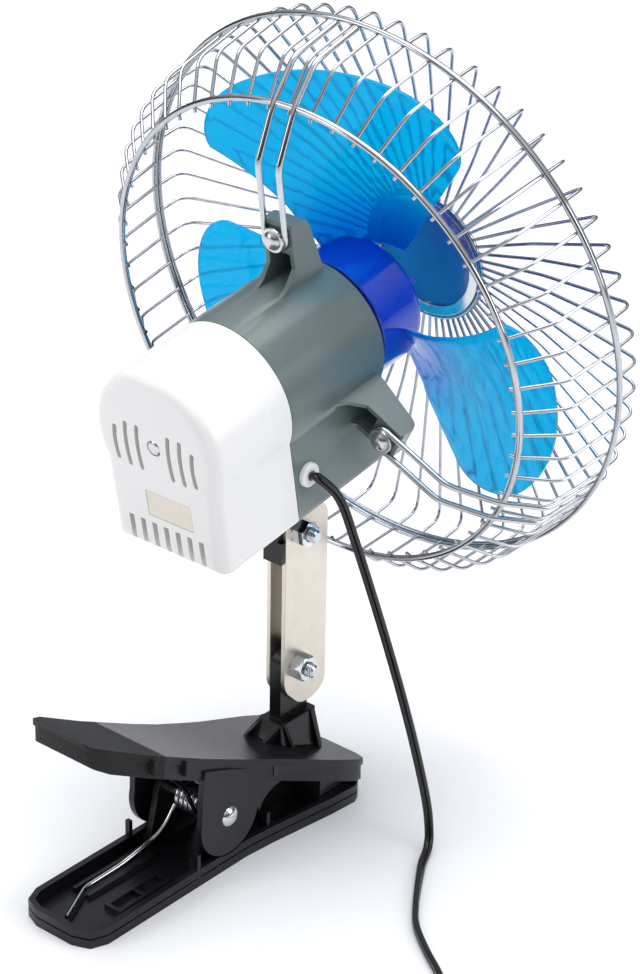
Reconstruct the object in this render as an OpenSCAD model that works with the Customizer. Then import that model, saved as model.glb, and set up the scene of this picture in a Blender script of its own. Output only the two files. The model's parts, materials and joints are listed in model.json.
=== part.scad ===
// Clip-on 12 volt car fan on a spring clamp, every sub-part its own module.
// Units are millimetres. +Z up, the fan blows towards -Y, the clamp handle points to +Y.
// The origin is on the floor plane, right under the clamp pivot.

/* [Clamp] */
// clamp pivot height
pivot_z = 21.5; // [18:0.5:26]
// half width of the straight part of both jaws
jaw_hw = 17.5; // [14:0.5:22]
// half width of the flared jaw tip
tip_hw = 23.5; // [18:0.5:28]
// lower jaw, handle end
low_end_y = 71; // [60:1:85]
// lower jaw, tip end
low_tip_y = -67.5; // [-80:0.5:-55]
// lower jaw rim height
low_h = 7; // [5:0.5:10]
// moulded wall thickness of the clamp
jaw_wall = 2.4; // [1.8:0.1:3.2]
// depth of the upper jaw's skirt
skirt = 9.5; // [6:0.5:13]
// radius of the ear round the pivot
ear_r = 15; // [12:0.5:18]
// pivot pin radius
pin_r = 2.5; // [2:0.1:3.5]
// spring wire thickness
spring_wire = 1.8; // [1.2:0.1:2.4]
// spring coil radius to the middle of the wire
spring_r = 4.9; // [4:0.1:7]
// number of turns of the clamp spring
spring_turns = 5; // [3:1:8]

/* [Stand] */
// the two bolts stand on this y
bolt_y = -51.3; // [-60:0.1:-40]
// height of the lower bolt
bolt_low_z = 56; // [50:0.5:62]
// height of the upper bolt
bolt_up_z = 111; // [100:0.5:125]
// bolt radius
bolt_r = 2.5; // [2:0.1:3]
// thickness of each steel link plate
plate_t = 1.8; // [1.2:0.1:2.5]
// thickness of the tongues between the plates
tang_t = 5.2; // [4:0.1:7]

/* [Head] */
// centre of the main guard ring, y
head_y = -95.7; // [-110:0.1:-85]
// centre of the main guard ring, z
head_z = 187.9; // [170:0.1:205]
// upward tilt of the head in degrees
head_tilt = 10.14; // [0:0.01:20]
// barrel radius of the motor housing
barrel_r = 27.7; // [25:0.1:30]
// half width of the housing's lower box
chin_hw = 25.3; // [22:0.1:28]
// bottom of the lower box, below the fan axis
chin_d = 45.2; // [40:0.1:50]
// front rim of the barrel, behind the main ring
barrel_front = 28; // [24:0.5:32]
// joint between grey housing and white cover
seam = 78; // [70:0.5:86]
// rear face of the white cover
cover_end = 116.5; // [105:0.5:122]
// moulded wall of the housing
wall = 2; // [1.5:0.1:3]

/* [Guard] */
// radius of the main ring
ring_c = 105; // [95:0.5:120]
// radius of the rear ring
ring_b = 89.3; // [80:0.1:100]
// rear ring, behind the main ring
ring_b_s = 34.7; // [28:0.1:40]
// knee of the rear wires, inside the main ring's radius
knee_in = 3.3; // [1:0.1:8]
// knee, behind the main ring
knee_s = 23.2; // [18:0.1:30]
// wires of each guard
wires = 60; // [36:1:72]
// guard wire thickness
wire_d = 1.3; // [1:0.1:2]
// strut wire thickness
strut_d = 2.2; // [1.6:0.1:3]
// outer radius of the bright ring round the badge
badge_rim = 24.3; // [20:0.1:30]

/* [Fan] */
// blade tip radius
blade_r = 88; // [70:1:95]
// hub radius
hub_r = 24.5; // [18:0.5:28]
// number of blades
blades = 3; // [2:1:6]
// motor shaft radius
shaft_r = 1.6; // [1.2:0.1:2.5]

/* [Cord] */
// cord thickness
cord_d = 3.4; // [3:0.1:5]
// outer loop radius of the rest coil
coil_r = 29.8; // [24:0.1:40]
// loops of the rest coil
coil_turns = 10; // [6:1:14]

/* [Hidden] */
// running fit between pins and their holes
fit = 0.06;
// space left between pieces that move past each other
clear = 0.4;
$fn = 48;
plate_in = tang_t / 2;
plate_out = tang_t / 2 + plate_t;
ear_in = jaw_hw - 2.5;
shaft_back = 93;
// motor and gears inside the housing
can_r = 17.8;
can_front = 33;
can_back = 71;
worm_y = 82;
worm_pitch_r = 3.2;
wheel_r = 9;
wheel_x = worm_pitch_r + wheel_r;
swivel_r = 5;
// the crank bar runs this high in the head's axes, just above the swivel stud
bar_u = 8.8 - chin_d;
crank_r = 4.4;
// middle of the cord grommet in the side of the housing
grommet_s = seam - 6.3;
grommet_u = 17.9 - chin_d;
knee_r = ring_c - knee_in;
// where the upper bolt sits in the head's own axes, behind and below the ring centre
head_dy = bolt_y - head_y;
head_dz = bolt_up_z - head_z;
swivel_s = head_dy * cos(head_tilt) - head_dz * sin(head_tilt);
swivel_u = head_dy * sin(head_tilt) + head_dz * cos(head_tilt);

// helpers

function unit(v) = v / norm(v);
function flat(l) = [for (a = l) for (b = a) b];
// faces of a closed tube made of m rings of n points
function tube_faces(m, n) = concat(
  [[for (j = [n - 1:-1:0]) j]],
  [for (i = [0:m - 2]) for (j = [0:n - 1])
    [i * n + j, i * n + (j + 1) % n, (i + 1) * n + (j + 1) % n, (i + 1) * n + j]],
  [[for (j = [0:n - 1]) (m - 1) * n + j]]);
// direction of a route at point i
function tangent(p, i) =
  i == 0 ? unit(p[1] - p[0]) :
  i == len(p) - 1 ? unit(p[i] - p[i - 1]) :
  unit(unit(p[i + 1] - p[i]) + unit(p[i] - p[i - 1]));
// how much wider the ring is at a bend
function mitre(p, i) =
  i == 0 || i == len(p) - 1 ? 1 :
  1 / max(0.5, tangent(p, i) * unit(p[i + 1] - p[i]));
function tube_ring(p, i, r, n, ref) =
  let (t = tangent(p, i), a = unit(cross(t, ref)), b = cross(a, t))
  [for (j = [0:n - 1]) p[i] + a * r * cos(360 * j / n) + b * r * sin(360 * j / n) * mitre(p, i)];
// a round tube along a route; ref is a direction that the route never takes
module tube(p, r, n, ref) {
  pts = flat([for (i = [0:len(p) - 1]) tube_ring(p, i, r, n, ref)]);
  polyhedron(points = pts, faces = tube_faces(len(p), n), convexity = 8);
}
// smooth curve through hand-chosen points, k steps a stretch
function bend(a, b, c, d, t) =
  0.5 * ((2 * b) + (c - a) * t + (2 * a - 5 * b + 4 * c - d) * t * t + (3 * b - a - 3 * c + d) * t * t * t);
function smooth(p, k) = concat(
  [for (i = [0:len(p) - 2]) for (j = [0:k - 1])
    bend(p[max(0, i - 1)], p[i], p[i + 1], p[min(len(p) - 1, i + 2)], j / k)],
  [p[len(p) - 1]]);
module head() translate([0, head_y, head_z]) rotate([-head_tilt, 0, 0]) children();
// a disc or bar lying along y in the head's axes, from s0 to s1 behind the main ring
module rod_y(r, y0, y1) translate([0, y0, 0]) rotate([-90, 0, 0]) cylinder(r = r, h = y1 - y0);
module rod_x(r, x0, x1) translate([x0, 0, 0]) rotate([0, 90, 0]) cylinder(r = r, h = x1 - x0);
module hex_x(af, x0, x1) translate([x0, 0, 0]) rotate([0, 90, 0]) cylinder(r = af / sqrt(3), h = x1 - x0, $fn = 6);

// clamp

function low_outline(e) = [
  [-jaw_hw + e, low_end_y - 9], [-jaw_hw + 2.6 + e * 0.7, low_end_y - 2.6 - e * 0.7], [-jaw_hw + 9, low_end_y - e],
  [jaw_hw - 9, low_end_y - e], [jaw_hw - 2.6 - e * 0.7, low_end_y - 2.6 - e * 0.7], [jaw_hw - e, low_end_y - 9],
  [jaw_hw - e, -9], [jaw_hw + 1.2 - e, -22], [tip_hw - 1 - e, -50], [tip_hw - e, low_tip_y + 5],
  [tip_hw - 1.6 - e * 0.7, low_tip_y + 1.6 + e * 0.7], [tip_hw - 5, low_tip_y + e],
  [-tip_hw + 5, low_tip_y + e], [-tip_hw + 1.6 + e * 0.7, low_tip_y + 1.6 + e * 0.7], [-tip_hw + e, low_tip_y + 5],
  [-tip_hw + 1 + e, -50], [-jaw_hw - 1.2 + e, -22], [-jaw_hw + e, -9]];
module low_shape(e) polygon(low_outline(e));

module lower_jaw() color("#26262b") difference() {
  union() {
    linear_extrude(3.4) low_shape(0);
    translate([0, 0, 3.4]) linear_extrude(0.6) low_shape(0.7);
    translate([0, 0, 4]) linear_extrude(low_h - 4) low_shape(0);
    // inner ears that carry the pin
    for (x = [-12.4, 9.8]) translate([x, 0, 0]) rotate([90, 0, 90]) linear_extrude(2.6) {
      translate([0, pivot_z]) circle(r = 8.2);
      polygon([[-8.2, pivot_z], [-13, 2], [13, 2], [8.2, pivot_z]]);
    }
    // upright fins that guide the ears of the upper jaw
    for (x = [-jaw_hw, jaw_hw - 2], y = [-21.5, 15.4]) translate([x, y, 2]) cube([2, 1.6, 11]);
    // tooth block at the tip
    translate([-tip_hw + 3.4, low_tip_y + 3.2, 2]) cube([2 * tip_hw - 6.8, 18, 5.2]);
    for (i = [0:5]) translate([0, low_tip_y + 4.2 + i * 3, 7.1]) rotate([90, 0, 90])
      translate([0, 0, -tip_hw + 3.4]) linear_extrude(2 * tip_hw - 6.8) polygon([[0, 0], [2.6, 0], [1.3, 1.1]]);
  }
  difference() {
    translate([0, 0, 2]) linear_extrude(low_h) low_shape(jaw_wall);
    // ribs on the floor of the tray
    for (x = [3.4, 10.2]) translate([x, 14, 0]) cube([1.4, 36, 4]);
    for (x = [-11.4, -5.2]) translate([x, 24, 0]) cube([1.4, 26, 4]);
    for (y = [24, 36, 48.6]) translate([-11.4, y, 0]) cube([7.6, 1.4, 4]);
    translate([-jaw_hw, -28, 0]) cube([2 * jaw_hw, 1.6, 4.6]);
    translate([-8.4, -47, 0]) cube([1.6, 19.2, 4.6]);
    translate([6.8, -47, 0]) cube([1.6, 19.2, 4.6]);
    for (x = [-12.5, 9.7]) translate([x, -13.1, 0]) cube([2.8, 26.2, 12]);
    translate([-tip_hw + 3.3, low_tip_y + 3.1, 0]) cube([2 * tip_hw - 6.6, 18.2, 12]);
    for (x = [-jaw_hw, jaw_hw - 2], y = [-21.5, 15.4]) translate([x, y, 0]) cube([2, 1.6, 14]);
  }
  // pin hole through the ears
  translate([0, 0, pivot_z]) rod_x(pin_r, -13, 13);
  // notch in the rim under each outer ear
  for (s = [-1, 1]) translate([s * (jaw_hw - 1.1), 0, pivot_z]) rod_x(ear_r + 0.6, -1.75, 1.75);
}

// side view of the upper jaw's top, handle end first
up_top = [[66, 79.2], [58, 75.2], [50, 70.7], [40, 65.2], [27, 58.5], [13, 51.4], [0, 45.2], [-12, 39.9],
  [-33, 30.9], [-55, 21.5], [-70, 15.1]];
module up_side(drop, depth, e) polygon(concat(
  [for (p = up_top) [p[0] + (p == up_top[0] ? -e : p == up_top[10] ? e : 0), p[1] - drop]],
  [for (i = [10:-1:0]) [up_top[i][0] + (i == 0 ? -e - 1.2 : i == 10 ? e : 0), up_top[i][1] - depth]]));
module up_plan(e) polygon([
  [-16.4 + e, 59], [-14.4 + e * 0.7, 64 - e * 0.7], [-10, 66 - e], [10, 66 - e], [14.4 - e * 0.7, 64 - e * 0.7], [16.4 - e, 59],
  [jaw_hw - 0.6 - e, 30], [jaw_hw - e, 0], [jaw_hw + 1.4 - e, -24], [tip_hw - 0.6 - e, -52], [tip_hw - e, -64],
  [tip_hw - 1.5 - e * 0.7, -68.4 + e * 0.7], [tip_hw - 6, -70 + e],
  [-tip_hw + 6, -70 + e], [-tip_hw + 1.5 + e * 0.7, -68.4 + e * 0.7], [-tip_hw + e, -64], [-tip_hw + 0.6 + e, -52],
  [-jaw_hw - 1.4 + e, -24], [-jaw_hw + e, 0], [-jaw_hw + 0.6 + e, 30]]);

module ear_side() {
  translate([0, pivot_z]) circle(r = ear_r);
  polygon(concat([[ear_r - 0.3, pivot_z], [14.2, 34], [13, 46], [0, 41], [-30, 28], [-27, 23.4]],
    [for (a = [0:15:75]) [-27 + 12 * sin(a) * 0.98, 23.2 - 9.4 * (1 - cos(a))]], [[-ear_r + 0.2, pivot_z - 3]]));
}

module upper_jaw() color("#26262b") difference() {
  union() {
    difference() {
      union() {
        intersection() {
          translate([-30, 0, 0]) rotate([90, 0, 90]) linear_extrude(60) up_side(0, 3, 0);
          linear_extrude(100) up_plan(0);
        }
        intersection() {
          translate([-30, 0, 0]) rotate([90, 0, 90]) linear_extrude(60) up_side(1, skirt, 0.7);
          linear_extrude(100) up_plan(0.7);
        }
      }
      intersection() {
        translate([-30, 0, 0]) rotate([90, 0, 90]) linear_extrude(60) up_side(2.5, 20, jaw_wall);
        linear_extrude(100) up_plan(jaw_wall);
      }
    }
    for (x = [-jaw_hw, ear_in]) translate([x, 0, 0]) rotate([90, 0, 90]) linear_extrude(2.5) ear_side();
    // ribs under the skin
    intersection() {
      translate([-30, 0, 0]) rotate([90, 0, 90]) linear_extrude(60) up_side(1.5, skirt - 2, 3);
      union() {
        for (y = [-24, 22, 38]) translate([-jaw_hw - 1, y, 0]) cube([2 * jaw_hw + 2, 1.6, 90]);
        for (x = [-7, 5.4]) translate([x, -30, 0]) cube([1.6, 10, 90]);
      }
    }
    // tooth block at the tip
    intersection() {
      translate([-tip_hw + 3.4, low_tip_y + 3.2, 8.6]) cube([2 * tip_hw - 6.8, 18, 20]);
      translate([-30, 0, 0]) rotate([90, 0, 90]) linear_extrude(60) up_side(1, 20, 1);
    }
    for (i = [0:4]) translate([0, low_tip_y + 5.7 + i * 3, 8.65]) rotate([90, 0, 90])
      translate([0, 0, -tip_hw + 3.4]) linear_extrude(2 * tip_hw - 6.8) polygon([[0, 0], [2.6, 0], [1.3, -0.6]]);
    // socket that holds the foot of the stand post
    intersection() {
      translate([-7.6, -60.6, 12]) cube([15.2, 20, 30]);
      translate([-30, 0, 0]) rotate([90, 0, 90]) linear_extrude(60) up_side(1, skirt, 1);
    }
  }
  // pin holes
  translate([0, 0, pivot_z]) rod_x(pin_r + fit, -30, 30);
  // seat of the post foot and its screw hole
  translate([-4, -56, 10]) cube([8, 11, 40]);
  // room for the rim of the lower jaw behind the lip at the tip
  translate([-30, low_tip_y - 0.4, 0]) cube([60, 8, low_h + 0.3]);
}

module pivot_pin() color("#d8dade") translate([0, 0, pivot_z]) {
  rod_x(pin_r, -jaw_hw - 0.6, jaw_hw + 0.6);
  for (s = [-1, 1]) translate([s * (jaw_hw + 0.3), 0, 0]) rotate([0, s * 90, 0]) {
    cylinder(r = 4, h = 0.7);
    translate([0, 0, 0.7]) cylinder(r1 = 4, r2 = 2.4, h = 0.9);
  }
}

// clamp spring: lower leg, coil round the pin, upper leg, one unbroken wire
spring_w = (spring_wire + 0.45) * spring_turns;
spring_pts = concat(
  [[0, 64.5, 4.1], [8, 47.5, 4.1]],
  [[7.2, 30, 5.2], [6.4, 14, 8.4], [5.9, 8, pivot_z - 9]],
  [for (i = [0:8 * spring_turns]) let (a = -40 - i * 45)
    [spring_w / 2 - i * spring_w / (8 * spring_turns), spring_r * cos(a), pivot_z + spring_r * sin(a)]],
  [[-spring_w / 2, 12, pivot_z + 13.6], [-spring_w / 2, 25, pivot_z + 26.7], [-spring_w / 2, 31, 56.7]]);
module clamp_spring() color("#c9ccd1") tube(spring_pts, spring_wire / 2, 6, [1, 0.02, 0.03]);
spring_gap = min([for (i = [5:8 * spring_turns - 4]) norm(spring_pts[i] - spring_pts[i + 8])]) - spring_wire;
echo(str("least gap of the spring wire to itself ", spring_gap));

// stand

module stand_post() color("#222226") difference() {
  union() {
    // tongue between the plates
    translate([-plate_in, bolt_y, bolt_low_z]) rod_x(7.5, 0, tang_t);
    translate([-plate_in, bolt_y - 7.5, 34]) cube([tang_t, 15, bolt_low_z - 34]);
    difference() {
      union() {
        // body with sloping flanks
        rotate([90, 0, 90]) translate([0, 0, -5]) linear_extrude(10)
          polygon([[-41, 34.9], [-60.5, 34.9], [-62.8, 16.4], [-41, 16.4], [-36, 29]]);
        // rear gussets
        for (x = [-5, 3.6]) translate([x, 0, 0]) rotate([90, 0, 90]) linear_extrude(1.4)
          polygon([[-41.2, 34.9], [-33, 31.8], [-32, 31.2], [-32, 26], [-41, 26]]);
        // side gussets
        for (y = [-43.6, -58.6]) translate([0, y + 1.4, 0]) rotate([90, 0, 0]) linear_extrude(1.4)
          polygon([[-4, 34.8], [-5.6, 34.8], [-10.6, y > -50 ? 26 : 19.6], [10.6, y > -50 ? 26 : 19.6], [5.6, 34.8], [4, 34.8]]);
      }
      // sloping underside that rests on the jaw
      rotate([90, 0, 90]) translate([0, 0, -15]) linear_extrude(30)
        polygon([[-70, 15.22], [-55, 21.62], [-33, 31.02], [-26, 34.02], [-26, 8], [-70, 8]]);
    }
    // foot that sits in the socket of the jaw
    translate([-4 + fit, -56 + fit, 14]) cube([8 - 2 * fit, 11 - 2 * fit, 16]);
  }
  translate([0, bolt_y, bolt_low_z]) rod_x(bolt_r + fit, -10, 10);
  translate([0, -50.5, 10]) cylinder(r = 1.3, h = 16);
}

module post_screw() color("#b9bcc2") translate([0, -50.5, 0]) {
  translate([0, 0, 12.2]) cylinder(r = 3.2, h = 1.8);
  translate([0, 0, 13.9]) cylinder(r = 1.3, h = 10);
}

// outline of a link plate: the rear edge stands nearer to the bolts than the front edge
plate_back = 7.5;
plate_front = 15.4;
module plate_shape() translate([bolt_y, 0]) polygon([[plate_back, bolt_low_z - 6], [3.7, bolt_low_z - 12.8],
  [-0.7, bolt_low_z - 16.4], [-3.7, bolt_low_z - 17.2], [-11.7, bolt_low_z - 17.2], [1.1 - plate_front, bolt_low_z - 15.8],
  [-plate_front, bolt_low_z - 13], [-plate_front, bolt_up_z + 2], [1.5 - plate_front, bolt_up_z + 5.6],
  [4.7 - plate_front, bolt_up_z + 7], [2.7, bolt_up_z + 7], [plate_back - 1.4, bolt_up_z + 5.6], [plate_back, bolt_up_z + 2]]);
module link_plate(x) translate([x, 0, 0]) difference() {
  rotate([90, 0, 90]) linear_extrude(plate_t) plate_shape();
  for (z = [bolt_low_z, bolt_up_z]) translate([0, bolt_y, z]) rod_x(bolt_r + fit, -1, plate_t + 1);
}
module link_plate_near() color("#cfc9bd") link_plate(-plate_out);
module link_plate_far() color("#cfc9bd") link_plate(plate_in);

module bolt(z) color("#c4c7cc") translate([0, bolt_y, z]) {
  rod_x(bolt_r, -plate_out - 8.2, plate_out + 0.1);
  difference() {
    rod_x(4.4, plate_out, plate_out + 3.2);
    rod_x(2, plate_out + 1.4, plate_out + 4);
  }
}
module nut(z) color("#aeb9c4") translate([0, bolt_y, z]) difference() {
  union() {
    rod_x(5.2, -plate_out - 1, -plate_out);
    intersection() {
      hex_x(8, -plate_out - 5, -plate_out - 1);
      rod_x(4.5, -plate_out - 5, -plate_out - 1);
    }
  }
  rod_x(bolt_r, -20, 0);
}
module lower_bolt() bolt(bolt_low_z);
module lower_nut() nut(bolt_low_z);
module upper_bolt() bolt(bolt_up_z);
module upper_nut() nut(bolt_up_z);

// neck, modelled in the head's axes; z is up along the swivel axis
neck_top = -chin_d - 0.3;
module swivel_neck() color("#1c1c20") difference() {
  union() {
    // tongue between the link plates, in the stand's axes
    translate([-plate_in, bolt_y, bolt_up_z]) rotate([90, 0, 90]) linear_extrude(tang_t)
      polygon([[-9.6, 12], [-9.6, -5], [-5.2, -9.6], [1.3, -10.6], [plate_back + 2.4, -10.6], [plate_back + 2.4, 12]]);
    // shoulder behind the plates, which stops the head from tilting back
    translate([-plate_out + 0.2, bolt_y + plate_back + 0.2, bolt_up_z - 10.6]) cube([2 * plate_out - 0.4, 2.2, 8.6]);
    head() {
      translate([0, swivel_s, neck_top - 5]) cylinder(r = 14, h = 5);
      translate([0.1 - plate_in, swivel_s - 10, neck_top - 14]) cube([tang_t - 0.2, 20, 10]);
      translate([0, swivel_s, neck_top - 1]) cylinder(r = swivel_r, h = 9.3);
    }
  }
  translate([0, bolt_y, bolt_up_z]) rod_x(bolt_r + fit, -10, 10);
  // groove for the retaining clip and the cord-free bore
  head() translate([0, swivel_s, -chin_d + wall + 2.8]) difference() {
    cylinder(r = swivel_r + 1, h = 1.2);
    translate([0, 0, -1]) cylinder(r = swivel_r - 0.9, h = 4);
  }
}
module swivel_clip() color("#9a9da3") head() translate([0, swivel_s, -chin_d + wall + 3]) difference() {
  cylinder(r = 8.4, h = 0.8);
  translate([0, 0, -1]) cylinder(r = swivel_r - 0.9 + fit, h = 3);
  translate([0, -1.6, -1]) cube([10, 3.2, 3]);
}

// head

// outline of the housing across the fan axis, x and up
module shell_shape(e) {
  c = max(4 - e, 0.8);
  x = chin_hw - e;
  d = chin_d - e;
  circle(r = barrel_r - e, $fn = 96);
  polygon([[-x, -9], [-x, c - d], [0.29 * c - x, 0.29 * c - d], [c - x, -d], [x - c, -d], [x - 0.29 * c, 0.29 * c - d],
    [x, c - d], [x, -9]]);
}
// slab of that outline from y0 to y1
module shell(e, y0, y1) translate([0, y1, 0]) rotate([90, 0, 0]) linear_extrude(y1 - y0) shell_shape(e);

// side view of a guard lug, y back and z outward
module lug_side() polygon([[32.5, 22], [32.8, 30], [36.8, 47.4], [37.8, 49.4], [39.6, 50.4], [45, 50.4], [46, 49.4], [46, 34],
  [50.6, 29], [56, 26.4], [56, 22]]);
module lug() difference() {
  translate([-6.5, 0, 0]) rotate([90, 0, 90]) linear_extrude(13) lug_side();
  // hollow between the side walls, open towards the back
  translate([-4.7, 0, 0]) rotate([90, 0, 90]) linear_extrude(9.4)
    polygon([[35.4, 22], [38.2, 39.4], [46.4, 39.4], [60, 39.4], [60, 22]]);
  translate([0, 0, 45]) rod_y(1.3, 37, 50);
}

module motor_housing() color("#6f7c7c") head() difference() {
  union() {
    shell(0, barrel_front + 1.5, seam);
    shell(1.2, barrel_front, barrel_front + 2);
    for (a = [0, 120, 240]) rotate([0, a, 0]) lug();
  }
  difference() {
    shell(wall, barrel_front + 2.5, seam + 1);
    // posts for the two motor screws
    for (s = [-1, 1]) translate([s * 12, 0, 0]) rod_y(2.8, barrel_front, can_front);
  }
  rod_y(7, barrel_front - 1, can_front + 1);
  for (s = [-1, 1]) translate([s * 12, 0, 0]) rod_y(1.3, barrel_front - 1, can_front + 1);
  // cord hole in the side
  translate([0, grommet_s, grommet_u]) rod_x(3.6, -chin_hw - 5, -chin_hw + 5);
  // swivel bearing in the floor
  translate([0, swivel_s, -chin_d - 1]) cylinder(r = swivel_r + fit, h = 5);
}

module cover_body(e) {
  shell(e, seam, cover_end - 6);
  shell(e + 0.5, cover_end - 6.1, cover_end - 4);
  shell(e + 1.4, cover_end - 4.1, cover_end - 2.2);
  shell(e + 2.8, cover_end - 2.3, cover_end - 0.9);
  shell(e + 4.4, cover_end - 1, cover_end);
}
slot_x = [-17.4, -12.2, -7, 7, 12.2, 17.4];
module rear_cover() color("#f2f0ee") head() difference() {
  union() {
    difference() {
      cover_body(0);
      shell(wall, seam - 1, cover_end - 6.5);
      shell(wall + 3, seam - 1, cover_end - 2.2);
    }
    // screw boss
    rod_y(3.6, shaft_back + 6, cover_end - 1);
    // spigot that centres the cover in the housing
    difference() {
      union() {
        shell(wall + 0.15, seam - 3, seam + 1);
        shell(wall - 0.2, seam + 0.5, seam + 4);
      }
      shell(wall + 1.35, seam - 4, seam + 5);
      translate([-40, seam - 5, -34]) cube([20, 5, 14]);
    }
  }
  rod_y(1.6, shaft_back, cover_end + 1);
  rod_y(3, cover_end - 1.2, cover_end + 1);
  // upper slots
  for (x = slot_x) translate([x - 0.9, cover_end - 4, abs(x) > 15 ? -10 : -11]) cube([1.8, 8, abs(x) > 15 ? 14 : 18]);
  // lower slots, open through the bottom edge
  for (i = [-3:3]) translate([i * 5.3 - 1.1, cover_end - 6, -chin_d - 1]) cube([2.2, 10, 14]);
  // shallow seat of the label
  translate([-13.2, cover_end - 0.5, -29.4]) cube([20.4, 2, 10.4]);
}
module rear_cover_screw() color("#cfd1d4") head() difference() {
  union() {
    rod_y(2.8, cover_end - 1.2, cover_end + 0.4);
    rod_y(1.5, shaft_back + 4, cover_end - 1.1);
  }
  for (a = [0, 90]) rotate([0, a + 20, 0]) translate([-1.7, cover_end - 0.5, -0.35]) cube([3.4, 2, 0.7]);
}
module label_plate() color("#ece7df") head()
  translate([-13, cover_end - 0.5, -29.2]) cube([20, 0.4, 10]);
module cable_grommet() color("#f4f4f2") head() translate([0, grommet_s, grommet_u]) difference() {
  union() {
    rod_x(4.4, -chin_hw - 2, -chin_hw);
    rod_x(3.6, -chin_hw - 0.1, -chin_hw + wall + 0.1);
    rod_x(4.4, -chin_hw + wall, -chin_hw + wall + 1.2);
  }
  rod_x(cord_d / 2 + fit, -chin_hw - 3, -chin_hw + wall + 2);
}

module motor_can() color("#a9adb2") head() difference() {
  union() {
    rod_y(can_r, can_front, can_back);
    rod_y(5, barrel_front + 0.6, can_front + 0.1);
  }
  rod_y(can_r - 1.2, can_front + 1.2, can_back + 1);
  rod_y(shaft_r + 0.08, barrel_front - 2, can_front + 2);
  for (s = [-1, 1]) translate([s * 12, 0, 0]) rod_y(1.3, can_front - 1, can_front + 2);
}
module motor_end_cap() color("#2b2b2f") head() difference() {
  union() {
    rod_y(can_r - 1.2, can_back - 3, can_back);
    rod_y(5, can_back - 0.1, can_back + 2.6);
  }
  rod_y(shaft_r + 0.08, can_back - 4, can_back + 4);
}
module motor_magnets() color("#3a3a3e") head() for (a = [0, 180]) rotate([0, a, 0]) intersection() {
  difference() {
    rod_y(can_r - 1.2, can_front + 6, can_back - 8);
    rod_y(13, can_front + 5, can_back - 7);
  }
  translate([-12, can_front, 4]) cube([24, 40, 20]);
}
module motor_mount_screws() color("#c8cace") head() for (s = [-1, 1]) translate([s * 12, 0, 0]) {
  rod_y(2.4, barrel_front - 1.2, barrel_front);
  rod_y(1.3, barrel_front - 0.1, can_front + 1.2);
}
module armature() color("#7a4a32") head() difference() {
  union() {
    rod_y(12.3, can_front + 7, can_back - 12);
    rod_y(9, can_front + 4, can_back - 9);
    rod_y(5, can_back - 9.1, can_back - 4);
  }
  rod_y(shaft_r, can_front, can_back);
  for (a = [0:30:330]) rotate([0, a, 0]) translate([-0.7, can_front + 6, 10]) cube([1.4, 40, 4]);
}
module motor_shaft() color("#d5d7da") head() rod_y(shaft_r, -3.4, shaft_back);
module worm() color("#e9e4d4") head() {
  difference() {
    union() {
      rod_y(2.6, worm_y - 7, worm_y + 7);
      rod_y(3.6, worm_y - 7.5, worm_y - 6);
      for (i = [-2:2]) translate([0, worm_y + i * 2 - 0.45, 0]) rod_y(3.4, 0, 0.9);
    }
    rod_y(shaft_r, worm_y - 9, worm_y + 9);
  }
}
wheel_teeth = 28;
module worm_wheel() color("#efeadc") head() translate([wheel_x, worm_y, 0]) {
  difference() {
    union() {
      translate([0, 0, -2.4]) cylinder(r = wheel_r - 0.9, h = 4.8);
      for (i = [0:wheel_teeth - 1]) rotate([0, 0, i * 360 / wheel_teeth]) translate([wheel_r - 1.4, -0.4, -2])
        cube([1, 0.8, 4]);
      translate([0, 0, bar_u + 2.8]) cylinder(r = 1.5, h = -bar_u);
      translate([0, 0, bar_u + 2.8]) cylinder(r = crank_r + 2, h = 2.4);
      // crank pin
      translate([0, -crank_r, bar_u - 0.2]) cylinder(r = 1.2, h = 3.2);
    }
  }
}
module gear_frame() color("#55585c") head() difference() {
  union() {
    // bridge over the worm wheel, screwed to the end of the motor
    translate([-14, can_back + 3, 4]) cube([36.4, 16, 1.8]);
    translate([-14, can_back, 4]) cube([28, 3.2, 1.8]);
    translate([-14, can_back + 0.2, -9]) cube([5, 2.2, 14]);
    // lower bearing arm
    translate([wheel_x - 4, can_back + 3, bar_u + 6]) cube([8, 14, 1.8]);
    translate([wheel_x + 9, seam + 4.4, bar_u + 6]) cube([1.2, can_back + 12.6 - seam, -0.4 - bar_u]);
    translate([wheel_x - 4, seam + 4.4, bar_u + 6]) cube([14.2, can_back + 12.6 - seam, 1.8]);
    rod_y(3.6, shaft_back + 3, shaft_back + 6);
    translate([-3, can_back + 16, 4]) cube([6, 11, 1.8]);
    translate([-3, shaft_back + 3, 0]) cube([6, 2, 5.8]);
  }
  translate([wheel_x, worm_y, bar_u - 3.6]) cylinder(r = 1.5 + fit, h = 23.6 - bar_u);
  rod_y(1.5, shaft_back + 2, shaft_back + 12);
  // room for the boss of the motor's end cap
  rod_y(5.3, can_back - 1, can_back + 3);
}
module drive_link() color("#8d9197") head() difference() {
  union() {
    translate([wheel_x, worm_y - crank_r, bar_u]) cylinder(r = 3.2, h = 1.8);
    translate([swivel_r, swivel_s + 4, bar_u]) cylinder(r = 3.2, h = 1.8);
    link_bar([wheel_x, worm_y - crank_r], [swivel_r, swivel_s + 4]);
  }
  translate([wheel_x, worm_y - crank_r, bar_u - 1.6]) cylinder(r = 1.2 + fit, h = 5);
  translate([swivel_r, swivel_s + 4, bar_u - 1.6]) cylinder(r = 1.3, h = 5);
}
module link_bar(a, b) translate([a[0], a[1], bar_u]) rotate([0, 0, atan2(b[1] - a[1], b[0] - a[0])])
  translate([0, -2, 0]) cube([norm(b - a), 4, 1.8]);

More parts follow.
